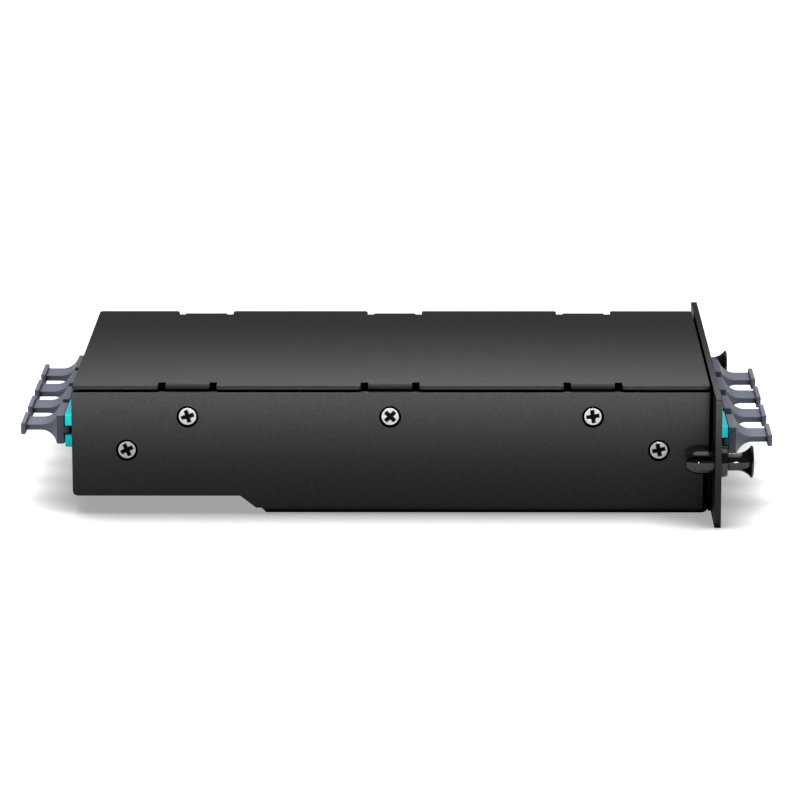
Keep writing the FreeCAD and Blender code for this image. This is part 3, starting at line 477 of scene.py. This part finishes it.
def make_finishes():
    """One material for each slot of the record."""
    colours = settings().colours
    FINISHES["black_powder_coat"] = powder_coat(tuple(colours.coat))
    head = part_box("cover_screws")[1].y
    FINISHES["nickel_steel"] = plated_screw(tuple(colours.nickel), head, 0.5 * MM)
    FINISHES["spring_steel"] = bare_metal("spring_steel", (0.55, 0.55, 0.54), 0.28, 0.42)
    # Painted shade for each moulding, by ambient occlusion: the pieces shut inside the body go black within 25 mm,
    # the caps darken within 12 mm between neighbours, the adapters only where nearly closed in, and the latch takes
    # the 4 mm default.
    inside = {"reach": 25 * MM, "closed": 0.7}
    aqua = {"contrast": 0.03, "gloss": 0.15, "closed": -0.2}
    grey = {"contrast": 0.04, "gloss": 0.5, "reach": 12 * MM, "closed": 0.3}
    for slot, colour, low, high, cell, depth, shading in (
            ("guide_plastic", (0.72, 0.72, 0.69), 0.45, 0.6, 0.3, 0.01, inside),
            ("connector_plastic", colours.jacket, 0.3, 0.42, 0.35, 0.008, inside),
            ("boot_rubber", (0.02, 0.02, 0.02), 0.55, 0.7, 0.4, 0.015, inside),
            ("lead_jacket", colours.jacket, 0.42, 0.56, 0.5, 0.012, inside),
            ("latch_nylon", colours.nylon, 0.05, 0.09, 0.7, 0.006, {}),
            ("aqua_plastic", colours.adapter, 0.3, 0.42, 0.35, 0.008, aqua),
            ("cap_plastic", colours.cap, 0.42, 0.56, 0.28, 0.012, grey)):
        FINISHES[slot] = moulding(slot, tuple(colour), low, high, cell * MM, depth * MM, **shading)


def finish(obj, slot):
    """Give an object the finish of a material slot."""
    obj.data.materials.clear()
    obj.data.materials.append(FINISHES[slot])


# Meshes

def keep_piece(obj, node):
    """A new piece stands for a CAD node: same body, slot and finish."""
    finish(obj, SLOT_OF[node])
    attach(obj, BODY_OF[node])
    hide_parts(node)


def smooth(obj, angle):
    """Smooth shading with edges sharper than the angle kept crisp, and flat faces kept flat."""
    obj.data.shade_smooth()
    obj.data.set_sharp_from_angle(angle=angle)
    weighted = obj.modifiers.new("Flat faces", "WEIGHTED_NORMAL")
    weighted.keep_sharp = True
    weighted.weight = 100


def solid_boxes(node):
    """(low, high) of each separate solid of a node, near side first, then along X."""
    mesh = NODES[node].data
    points = np.array([v.co for v in mesh.vertices])
    boxes = []
    for own in (points[points[:, 1] < 0], points[points[:, 1] > 0]):
        own = own[np.argsort(own[:, 0])]
        gaps = np.flatnonzero(np.diff(own[:, 0]) > 5 * MM) + 1
        boxes += [(Vector(group.min(0)), Vector(group.max(0))) for group in np.split(own, gaps)]
    return boxes


def paint_coat_shade(piece, node):
    """Face attribute of painted shade, how far the coat is darkened: 1 in the countersinks, 0 in the open.

    A face counts as a countersink's where its middle is set back from the side of the body and within the
    mouth's radius of a screw's axis, which some large faces inside the body are too; there it paints the
    shadow round the screw heads. Away from its sides, the cover goes from 0 on its flat top to 1 on its
    upright faces as its tabs bend down into shade: 1.6 (1 - z of the normal), held between 0 and 1. The
    cover's sheared sides take 0.45 of painted shade, and the rear face of the plate, shaded by the body, 0.6."""
    mesh = piece.data
    middle = np.array([p.center for p in mesh.polygons])
    normal = np.array([p.normal for p in mesh.polygons])
    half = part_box("base_tray")[1].y
    back = half - np.abs(middle[:, 1])
    painted_shade_amount = np.zeros(len(middle))
    # Painted shade on the cover's tab bends and slits, and on its sheared sides.
    if node == "top_cover":
        painted_shade_amount = np.where(back > 0.3 * MM, np.clip(1.6 * (1 - np.abs(normal[:, 2])), 0, 1),
                        0.45 * (np.abs(normal[:, 1]) > 0.9))
    # Painted shade on the plate's rear face, where the body shades it.
    if node == "front_plate":
        painted_shade_amount = 0.6 * (normal[:, 0] < -0.5)
    # Painted shadow in the countersinks round the screw heads.
    for screws in RECESS_TURNS:
        for low, high in solid_boxes(screws):
            axis = (low + high) / 2
            apart = np.hypot(middle[:, 0] - axis.x, middle[:, 2] - axis.z)
            painted_shade_amount[(apart < settings().screw.sink_width / 2) & (back > 0.05 * MM) & (back < 1.3 * MM)] = 1
    mark = mesh.attributes.new("painted_shade", "FLOAT", "FACE")
    mark.data.foreach_set("value", painted_shade_amount.astype(np.float32))


def set_down(mesh, drop):
    """Topmost rim of a mesh lowered by drop."""
    points = np.empty(len(mesh.vertices) * 3)
    mesh.vertices.foreach_get("co", points)
    heights = points[2::3]
    heights[heights > heights.max() - 0.02 * MM] -= drop
    mesh.vertices.foreach_set("co", points)


def softened(node, width, name, drop=0.0):
    """Copy of a CAD node with its loose triangles merged and its sharp edges rounded by width."""
    mesh = NODES[node].data.copy()
    set_down(mesh, drop)
    work = bmesh.new()
    work.from_mesh(mesh)
    bmesh.ops.remove_doubles(work, verts=work.verts, dist=SAME_POINT)
    flat = math.radians(0.6)
    bmesh.ops.dissolve_limit(work, angle_limit=flat, verts=work.verts, edges=work.edges)
    work.to_mesh(mesh)
    work.free()
    mesh.name = name
    piece = bpy.data.objects.new(name, mesh)
    bpy.context.scene.collection.objects.link(piece)
    bevel = piece.modifiers.new("Soft edges", "BEVEL")
    bevel.width = width
    bevel.segments = 3
    bevel.limit_method = "ANGLE"
    bevel.angle_limit = SHARP
    smooth(piece, SHARP)
    keep_piece(piece, node)
    return piece


def rounded_loop(half_width, half_height, corner, steps):
    """Rounded rectangle in the YZ plane: each corner is a quarter circle, a + r cos t, b + r sin t."""
    turn = np.linspace(0, math.pi / 2, steps + 1)
    y, z = [], []
    for quarter, (sy, sz) in enumerate(((1, 1), (-1, 1), (-1, -1), (1, -1))):
        angle = turn + quarter * math.pi / 2
        y.append(sy * (half_width - corner) + corner * np.cos(angle))
        z.append(sz * (half_height - corner) + corner * np.sin(angle))
    return np.concatenate(y), np.concatenate(z)


def tube(points):
    """Closed surface through rings of points, one ring to a row, with one face at each end."""
    index = np.arange(points.shape[0] * points.shape[1]).reshape(points.shape[:2])
    ahead = np.roll(index, -1, axis=1)
    quads = np.stack([index[:-1], ahead[:-1], ahead[1:], index[1:]], axis=-1).reshape(-1, 4)
    return points.reshape(-1, 3), quads.tolist() + [index[0][::-1].tolist(), index[-1].tolist()]


def carried_loops(stations, steps):
    """Rounded rectangles carried along X: each station is (x, half width, half height, corner radius)."""
    rows = []
    for x, half_width, half_height, corner in stations:
        y, z = rounded_loop(half_width, half_height, corner, steps)
        rows.append(np.stack([np.full_like(y, x), y, z], axis=1))
    return tube(np.stack(rows))


def round_over(x, half_width, half_height, corner, edge, way, steps=4):
    """Stations that round an end at x: a quarter circle of radius edge, closing as x goes the given way."""
    turn = np.linspace(0, math.pi / 2, steps + 1)
    inset = edge * (1 - np.cos(turn))
    place = x - way * edge * (1 - np.sin(turn))
    return [(p, half_width - i, half_height - i, max(corner - i, 0.02 * MM)) for p, i in zip(place, inset)]


def merged(parts):
    """Several (points, faces) surfaces as one."""
    points, faces, base = [], [], 0
    for part_points, part_faces in parts:
        points.append(part_points)
        faces += [[i + base for i in face] for face in part_faces]
        base += len(part_points)
    return np.concatenate(points), faces


def solid_object(name, points, faces):
    """Object from points and faces, with its faces turned outwards."""
    mesh = bpy.data.meshes.new(name)
    mesh.from_pydata(points.tolist(), [], faces)
    work = bmesh.new()
    work.from_mesh(mesh)
    bmesh.ops.recalc_face_normals(work, faces=work.faces)
    work.to_mesh(mesh)
    work.free()
    obj = bpy.data.objects.new(name, mesh)
    bpy.context.scene.collection.objects.link(obj)
    return obj


# Dust cap

def horn(x, neck, radius, half_stem):
    """Half size of the flared neck: the stem's, plus the rise of a circle that leaves the stem at neck."""
    return half_stem + radius - np.sqrt(radius ** 2 - (x - neck) ** 2)


def cap_outside(cap):
    """Flange, flared neck, flat stem and pull bar: rounded rectangles carried along X from the flange."""
    half_width, half_height, edge = cap.flange_width / 2, cap.flange_height / 2, cap.edge
    depth, neck = cap.flange_depth, cap.flange_depth + cap.horn_length
    stations = round_over(0, half_width, half_height, edge, 0.3 * edge, -1)[::-1]
    stations += round_over(depth, half_width, half_height, edge, 0.7 * edge, 1)
    root_width, root_height = half_width - edge, half_height - edge
    rise_width, rise_height = root_width - cap.stem_width / 2, root_height - cap.stem_height / 2
    wide = (cap.horn_length ** 2 + rise_width ** 2) / (2 * rise_width)
    high = (cap.horn_length ** 2 + rise_height ** 2) / (2 * rise_height)
    ridge = 0.8 * edge
    for x in np.linspace(depth, neck, cap.arc_steps + 1):
        stations.append((x, horn(x, neck, wide, cap.stem_width / 2), horn(x, neck, high, cap.stem_height / 2), ridge))
    back = cap.length - cap.pull_depth
    stations.append((back, cap.stem_width / 2, cap.stem_height / 2, ridge))
    bar = (cap.pull_width / 2, cap.pull_height / 2, edge)
    stations += round_over(back, *bar, edge, -1)[::-1]
    stations += round_over(cap.length, *bar, edge, 1)
    return carried_loops(stations, 4)


def cap_plug(cap):
    """Hollow plug: the loop runs inwards along the outside, over the rim, and back along the hollow."""
    half_width, half_height, wall = cap.plug_width / 2, cap.plug_height / 2, cap.plug_wall
    corner = 0.5 * wall
    end = -cap.plug_length
    outside = (half_width, half_height, corner)
    inside = (half_width - wall, half_height - wall, corner)
    stations = [(0.5 * cap.flange_depth, *outside)]
    stations += round_over(end, *outside, 0.3 * wall, -1)
    rim = round_over(end, inside[0] + 0.3 * wall, inside[1] + 0.3 * wall, corner, 0.3 * wall, 1)
    stations += [(2 * end - x, a, b, c) for x, a, b, c in rim]
    stations.append((-wall, *inside))
    return carried_loops(stations, 3)


def cap_tongue(cap, side):
    """Side tongue: a flat bar with a rounded nose, drawn along X and set against the flange's side."""
    half = cap.tongue_height / 2
    points, faces = carried_loops(
        [(0.5 * cap.flange_depth, cap.tongue_depth / 2, half, 0.12 * MM)]
        + round_over(-cap.tongue_length, cap.tongue_depth / 2, half, 0.2 * MM, 0.45 * cap.tongue_depth, -1), 3)
    points[:, 1] += side * (cap.flange_width / 2 - cap.tongue_depth / 2 - cap.tongue_set)
    return points, faces


def make_cap(end, number):
    """One dust cap, drawn outward along X and set where its CAD node is."""
    cap = settings().cap
    node = "%s_dust_cap_%d" % (end, number)
    low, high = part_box(node)
    points, faces = merged([cap_outside(cap), cap_plug(cap), cap_tongue(cap, -1), cap_tongue(cap, 1)])
    points[:, 0] *= ENDS[end]
    tip = high.x if end == "front" else low.x
    points += np.array([tip - ENDS[end] * cap.length, (low.y + high.y) / 2, (low.z + high.z) / 2])
    piece = solid_object("cap_moulding_%s_%d" % (end, number), points, faces)
    smooth(piece, math.radians(50))
    keep_piece(piece, node)


# Panel latch

def rounded_corner(x, radius, way, edge, steps):
    """Quarter circle that rounds a profile's outer corner at (x, radius), from its end wall to its side.

    The end wall faces the given way along X: x moves back by edge (1 - cos t), r rises by edge sin t."""
    turn = np.linspace(0, math.pi / 2, steps + 1)
    return list(zip(x - way * edge * (1 - np.cos(turn)), radius - edge + edge * np.sin(turn)))


def full_turn(steps):
    """Angles all the way round."""
    return np.linspace(0, 2 * math.pi, steps, endpoint=False)


def rings(profile, turn):
    """Each profile point (x, r) goes round X as (x, r cos t, r sin t)."""
    x, radius = np.array(profile).T
    return np.stack([np.repeat(x[:, None], len(turn), axis=1), np.outer(radius, np.cos(turn)),
                     np.outer(radius, np.sin(turn))], axis=-1)


def lathe(profile, steps):
    """Surface of revolution about X, with a flat disc at the first and last point of the profile."""
    return tube(rings(profile, full_turn(steps)))


def lathe_ring(profile, steps):
    """Surface of revolution about X from a closed loop of profile points off the axis, so without ends."""
    points, faces = lathe(profile, steps)
    index = np.arange(len(points)).reshape(len(profile), steps)
    ahead = np.roll(index, -1, axis=1)
    joint = np.stack([index[-1], ahead[-1], ahead[0], index[0]], axis=-1)
    return points, faces[:-2] + joint.tolist()


def prong(profile, quarter, half_slot, steps):
    """A quarter of a ring between two slots with parallel sides, from a closed loop of profile points.

    A point at radius r starts where the slot's side cuts its circle, at arcsin(half slot / r), and goes
    round to the same place before the next slot, which leaves both ends flat."""
    profile = np.array(profile)
    start = np.arcsin(half_slot / profile[:, 1])
    share = np.linspace(0, 1, steps + 1)
    turn = start[:, None] + (math.pi / 2 - 2 * start)[:, None] * share + quarter * math.pi / 2
    x = np.repeat(profile[:, :1], steps + 1, axis=1)
    points = np.stack([x, profile[:, 1:] * np.cos(turn), profile[:, 1:] * np.sin(turn)], axis=-1)
    index = np.arange(x.size).reshape(x.shape)
    below = np.roll(index, -1, axis=0)
    quads = np.stack([index[:, :-1], index[:, 1:], below[:, 1:], below[:, :-1]], axis=-1).reshape(-1, 4)
    return points.reshape(-1, 3), quads.tolist() + [index[:, 0].tolist(), index[::-1, -1].tolist()]


def plunger_profile(latch, start, tail):
    """Half section of the knob, shaft and spreading tip, from the tip at tail to the knob's face.

    The flare is a circle tangent to the neck: r = neck + R - sqrt(R^2 - x^2)."""
    neck, knob = latch.neck_width / 2, latch.knob_width / 2
    shaft, tip = latch.shaft_width / 2, latch.tip_width / 2
    end, shoulder = start + latch.knob_length, tail + latch.tip_length
    run, rise = latch.knob_length - latch.rim - latch.neck_length, knob - neck
    radius = (run ** 2 + rise ** 2) / (2 * rise)
    x = np.linspace(0, run, latch.arc_steps, endpoint=False)
    profile = [(tail, shaft / 2), (tail + latch.tip_length / 2, tip), (shoulder - tip / 4, tip), (shoulder, shaft),
               (start, shaft)]
    profile += rounded_corner(start, neck, -1, latch.edge, 4)
    profile += list(zip(start + latch.neck_length + x, neck + radius - np.sqrt(radius ** 2 - x ** 2)))
    return profile + rounded_corner(end, knob, 1, latch.rim, 8)[::-1]


def bush_surface(latch, plate_front, plate_rear, tail):
    """Flanged bush with the uncut root of its barrel, and four prongs that reach to tail.

    A prong's outside tapers out to the bulge and then falls to the nose as bulge - (bulge - nose) t^2."""
    room, bulge, nose = latch.room_width / 2, latch.bulge_width / 2, latch.room_width / 2 - latch.gap
    barrel, bore, outer = latch.barrel_width / 2, latch.bore_width / 2, latch.flange_width / 2
    seat, collar, root = plate_front + latch.gap, plate_front - latch.collar, plate_rear - latch.root
    face = seat + latch.flange_depth
    at_root = barrel + (bulge - barrel) * latch.root / latch.bulge_place
    bush = [(root, room), (collar, room), (collar, bore), (face, bore)]
    bush += rounded_corner(face, outer - latch.flange_taper, 1, latch.flange_edge, 6)
    bush += [(seat, outer), (seat, barrel), (plate_rear - latch.gap, barrel), (root, at_root)]
    share = np.linspace(0, 1, latch.arc_steps + 1)
    widest = plate_rear - latch.bulge_place
    outside = list(zip(widest + (tail + latch.edge - widest) * share, bulge - (bulge - nose) * share ** 2))
    inner = latch.shaft_width / 2 - latch.gap
    section = [(root, at_root)] + outside
    section += [(tail, nose - latch.edge), (tail, inner), (tail + latch.lip, inner), (tail + latch.lip, room),
                (root, room)]
    parts = [lathe_ring(bush, latch.round_steps)]
    parts += [prong(section, quarter, latch.slot / 2, latch.round_steps // 5) for quarter in range(4)]
    return merged(parts)


def make_latch(side):
    """Both pieces of one latch, drawn about X and set on the axis of their CAD nodes."""
    latch = settings().latch
    plate_low, plate_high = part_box("front_plate")
    knob_start = plate_high.x + latch.flange_depth + 2 * latch.gap
    for part in ("grommet", "plunger"):
        node = "%s_latch_%s" % (side, part)
        low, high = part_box(node)
        if part == "grommet":
            points, faces = bush_surface(latch, plate_high.x, plate_low.x, low.x)
        else:
            points, faces = lathe(plunger_profile(latch, knob_start, low.x), latch.round_steps)
        cos, sin = math.cos(latch.turn), math.sin(latch.turn)
        points = points @ np.array([(1, 0, 0), (0, cos, sin), (0, -sin, cos)])
        points += np.array([0, (low.y + high.y) / 2, (low.z + high.z) / 2])
        piece = solid_object("nylon_%s_%s" % (side, part), points, faces)
        smooth(piece, math.radians(35))
        keep_piece(piece, node)


# Screws

def recess_depth(screw, u, v):
    """Depth of the cross recess at (u, v) on the head's face.

    Two crossed bars overlap. The distance into the nearer bar rises over the slope as a smooth step
    3 t^2 - 2 t^3, and the floor rises evenly from the middle to half its depth at the ends of the arms."""
    along, half = screw.span / 2, screw.arm / 2
    first = np.minimum(along - np.abs(u), half - np.abs(v))
    second = np.minimum(along - np.abs(v), half - np.abs(u))
    t = np.clip(np.maximum(first, second) / screw.slope, 0, 1)
    floor = screw.depth * (1 - 0.5 * np.hypot(u, v) / along)
    return floor * t * t * (3 - 2 * t)


def screw_surface(screw, length, turn):
    """Screw drawn inwards along +X from its head's face, with its recess turned about X.

    The face is a polar grid: (depth(r, t), r cos t, r sin t). The rim, cone and shank follow it as rings."""
    head, shank = screw.head_width / 2, screw.shank_width / 2
    radius = np.linspace(0.01 * MM, head - screw.edge, screw.rings)
    angle = full_turn(screw.round_steps)
    y, z = np.outer(radius, np.cos(angle)), np.outer(radius, np.sin(angle))
    cos, sin = math.cos(turn), math.sin(turn)
    face = np.stack([recess_depth(screw, y * cos + z * sin, z * cos - y * sin), y, z], axis=-1)
    side = rounded_corner(0, head, -1, screw.edge, 5)[1:] + [(head - shank, shank), (length, shank)]
    return tube(np.concatenate([face, rings(side, angle)]))


def make_screws(node, name, turns):
    """All screws of one node, one in each of its separate solids, in one piece."""
    screw = settings().screw
    parts = []
    for (low, high), turn in zip(solid_boxes(node), turns):
        side = 1 if low.y > 0 else -1
        points, faces = screw_surface(screw, high.y - low.y, math.radians(turn))
        face = high.y if side > 0 else low.y
        middle = np.array([(low.x + high.x) / 2, face, (low.z + high.z) / 2])
        turned = np.stack([points[:, 1], -side * points[:, 0], points[:, 2]], axis=-1)
        parts.append((turned + middle, faces))
    piece = solid_object(name, *merged(parts))
    smooth(piece, math.radians(45))
    keep_piece(piece, node)


# Operators

class CASSETTE_OT_finishes(bpy.types.Operator):
    """Make the finishes and give every CAD node its own"""
    bl_idname = "cassette.finishes"
    bl_label = "Finishes"

    def execute(self, context):
        make_finishes()
        for node, slot in SLOT_OF.items():
            finish(NODES[node], slot)
        return {"FINISHED"}


class CASSETTE_OT_sheet_metal(bpy.types.Operator):
    """Round the coated edges of the folded sheet pieces"""
    bl_idname = "cassette.sheet_metal"
    bl_label = "Sheet metal"

    def execute(self, context):
        for node in SHEETS:
            drop = settings().edges.rim_drop if node == "base_tray" else 0.0
            # Each coated piece gets its painted shade marks.
            paint_coat_shade(softened(node, settings().edges.sheet, "coated_" + node, drop), node)
        return {"FINISHED"}


class CASSETTE_OT_screws(bpy.types.Operator):
    """Turn the countersunk screws with their cross recesses"""
    bl_idname = "cassette.screws"
    bl_label = "Screws"

    def execute(self, context):
        for node, turns in RECESS_TURNS.items():
            make_screws(node, "plated_" + node, turns)
        return {"FINISHED"}


class CASSETTE_OT_adapters(bpy.types.Operator):
    """Round the moulded edges of the adapters"""
    bl_idname = "cassette.adapters"
    bl_label = "Adapters"

    def execute(self, context):
        for end in ENDS:
            for number in PORTS:
                softened("%s_adapter_%d" % (end, number), settings().edges.moulding,
                         "adapter_moulding_%s_%d" % (end, number))
        return {"FINISHED"}


class CASSETTE_OT_dust_caps(bpy.types.Operator):
    """Mould the dust caps"""
    bl_idname = "cassette.dust_caps"
    bl_label = "Dust caps"

    def execute(self, context):
        for end in ENDS:
            for number in PORTS:
                make_cap(end, number)
        return {"FINISHED"}


class CASSETTE_OT_latches(bpy.types.Operator):
    """Turn the knobs and the split bushes of the panel latches"""
    bl_idname = "cassette.latches"
    bl_label = "Latches"

    def execute(self, context):
        for side in ("near", "far"):
            make_latch(side)
        return {"FINISHED"}


def stage_material(light):
    """White ground that keeps the object's shadow and a painted contact shadow at the foot of things: pale diffuse,
    lifted where the camera or a gloss sees it.
    """
    material, nodes, links, _ = new_material("stage_white")
    nodes.clear()
    out = nodes.new("ShaderNodeOutputMaterial")
    diffuse = nodes.new("ShaderNodeBsdfDiffuse")
    glow = nodes.new("ShaderNodeEmission")
    path = nodes.new("ShaderNodeLightPath")
    seen = maths(nodes, links, "MAXIMUM", path.outputs["Is Camera Ray"], path.outputs["Is Glossy Ray"])
    # Painted contact shadow: ambient occlusion within the contact reach darkens the floor's tone.
    near = maths(nodes, links, "MULTIPLY", openness(nodes, links, light.contact_reach, 0.36, 0.86), light.floor_tone)
    links.new(spread(nodes, links, seen, light.floor_bounce, near, 0.0, 1.0), diffuse.inputs["Color"])
    links.new(maths(nodes, links, "MULTIPLY", seen, light.floor_lift), glow.inputs["Strength"])
    both = nodes.new("ShaderNodeAddShader")
    links.new(diffuse.outputs[0], both.inputs[0])
    links.new(glow.outputs[0], both.inputs[1])
    links.new(both.outputs[0], out.inputs["Surface"])
    return material


def studio_world(light):
    """White for the camera, dim for reflections, and an even pale light otherwise."""
    world = bpy.data.worlds.new("studio")
    world.use_nodes = True
    nodes, links = world.node_tree.nodes, world.node_tree.links
    ground = nodes["Background"]
    ground.inputs["Color"].default_value = (1, 1, 1, 1)
    path = nodes.new("ShaderNodeLightPath")
    gloss = spread(nodes, links, path.outputs["Is Glossy Ray"], light.sky, light.sky_gloss, 0.0, 1.0)
    level = spread(nodes, links, path.outputs["Is Camera Ray"], gloss, 1.0, 0.0, 1.0)
    links.new(level, ground.inputs["Strength"])
    bpy.context.scene.world = world


def lamp_object(name, lamp, place, aim):
    """Lamp at a place that looks at a point, out of the camera's sight."""
    obj = bpy.data.objects.new(name, lamp)
    obj.location = place
    obj.rotation_euler = (Vector(aim) - Vector(place)).to_track_quat("-Z", "Y").to_euler()
    obj.visible_camera = False
    bpy.context.scene.collection.objects.link(obj)
    return obj


def strip_lamp(name, place, aim, length, height, power, spread):
    """Strip lamp along X behind a grid: its light fades evenly to nothing at half the spread."""
    lamp = bpy.data.lights.new(name, "AREA")
    lamp.shape = "RECTANGLE"
    lamp.size = length
    lamp.size_y = height
    lamp.energy = power
    lamp.spread = spread
    return lamp_object(name, lamp, place, aim)


def keep_off(lamp, pieces):
    """Keep a lamp's light off some pieces."""
    spared = bpy.data.collections.new(lamp.name + "_spares")
    for piece in pieces:
        spared.objects.link(piece)
    for item in spared.collection_objects:
        item.light_linking.link_state = "EXCLUDE"
    lamp.light_linking.receiver_collection = spared


def sun_lamp(name, elevation, level, softness):
    """Even light from behind and above, which throws a short soft shadow to the front."""
    lamp = bpy.data.lights.new(name, "SUN")
    lamp.energy = level
    lamp.angle = softness
    place = Vector((0, math.cos(elevation), math.sin(elevation)))
    return lamp_object(name, lamp, place, Vector((0, 0, 0)))


class CASSETTE_OT_stage(bpy.types.Operator):
    """Set the floor, light and camera"""
    bl_idname = "cassette.stage"
    bl_label = "Stage"

    def execute(self, context):
        low, high = CAD_BOX
        middle = (Vector(low) + Vector(high)) / 2
        reach = 3.0
        points = np.array([(x, y, low[2] - 0.02 * MM) for x, y in ((-reach, -reach), (reach, -reach),
                                                                   (reach, reach), (-reach, reach))])
        floor = solid_object("floor", points, [[0, 1, 2, 3]])
        light = settings().light
        floor.data.materials.append(stage_material(light))
        studio_world(light)
        sun_lamp("overhead", light.sun_elevation, light.sun, light.sun_softness)
        edge = Vector((middle.x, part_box("base_tray")[0].y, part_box("top_cover")[1].z))
        front = edge + Vector((0, 0, light.wall_lift))
        strip = strip_lamp("wall_strip", front + Vector((0, -light.wall_distance, light.wall_rise)), front,
                           light.strip_length, light.strip_height, light.wall_power, light.wall_spread)
        keep_off(strip, [obj for obj in context.scene.objects if obj.name.startswith("cap_moulding_")])
        aside = Vector((0, math.cos(light.top_elevation), math.sin(light.top_elevation)))
        back = edge + Vector((0, -math.sin(light.top_elevation), math.cos(light.top_elevation))) * light.top_lift
        strip_lamp("top_strip", back + aside * light.top_distance, back,
                   light.strip_length, light.strip_height, light.top_power, light.top_spread)
        view = settings().stage
        camera = bpy.data.objects.new("camera", bpy.data.cameras.new("camera"))
        aim = middle + Vector(view.aim)
        away = Vector((math.sin(view.azimuth) * math.cos(view.elevation),
                       -math.cos(view.azimuth) * math.cos(view.elevation), math.sin(view.elevation)))
        camera.location = aim + away * view.distance
        turned_view = (Matrix.Rotation(view.azimuth, 3, "Z") @ Matrix.Rotation(math.pi / 2 - view.elevation, 3, "X")
                       @ Matrix.Rotation(view.roll, 3, "Z"))
        camera.rotation_euler = turned_view.to_euler()
        camera.data.lens = view.lens
        camera.data.sensor_width = 36.0
        camera.data.clip_end = 20.0
        context.scene.collection.objects.link(camera)
        context.scene.camera = camera
        context.scene.view_settings.view_transform = "Standard"
        return {"FINISHED"}


class CASSETTE_PT_panel(bpy.types.Panel):
    """Steps of the cassette in the sidebar"""
    bl_idname = "CASSETTE_PT_panel"
    bl_label = "Fibre cassette"
    bl_space_type = "VIEW_3D"
    bl_region_type = "UI"
    bl_category = "Cassette"

    def draw(self, context):
        for step in STEPS:
            self.layout.operator(step.bl_idname)


class CassetteSettings(bpy.types.PropertyGroup):
    """Settings of the whole cassette."""
    cap: PointerProperty(type=CapSettings)
    latch: PointerProperty(type=LatchSettings)
    screw: PointerProperty(type=ScrewSettings)
    edges: PointerProperty(type=EdgeSettings)
    colours: PointerProperty(type=ColourSettings)
    stage: PointerProperty(type=StageSettings)
    light: PointerProperty(type=LightSettings)


STEPS = (CASSETTE_OT_finishes, CASSETTE_OT_sheet_metal, CASSETTE_OT_screws, CASSETTE_OT_adapters,
         CASSETTE_OT_dust_caps, CASSETTE_OT_latches, CASSETTE_OT_stage)
CLASSES = (CapSettings, LatchSettings, ScrewSettings, EdgeSettings, ColourSettings, StageSettings, LightSettings,
           CassetteSettings, *STEPS, CASSETTE_PT_panel)


def register():
    """Register the classes and the scene's settings."""
    for kind in CLASSES:
        bpy.utils.register_class(kind)
    bpy.types.Scene.cassette = PointerProperty(type=CassetteSettings)


def unregister():
    """Remove the settings and the classes."""
    del bpy.types.Scene.cassette
    for kind in reversed(CLASSES):
        bpy.utils.unregister_class(kind)


def main():
    """Build the cassette's looks step by step."""
    register()
    for step in STEPS:
        group, name = step.bl_idname.split(".")
        getattr(getattr(bpy.ops, group), name)()


if __name__ == "__main__":
    main()
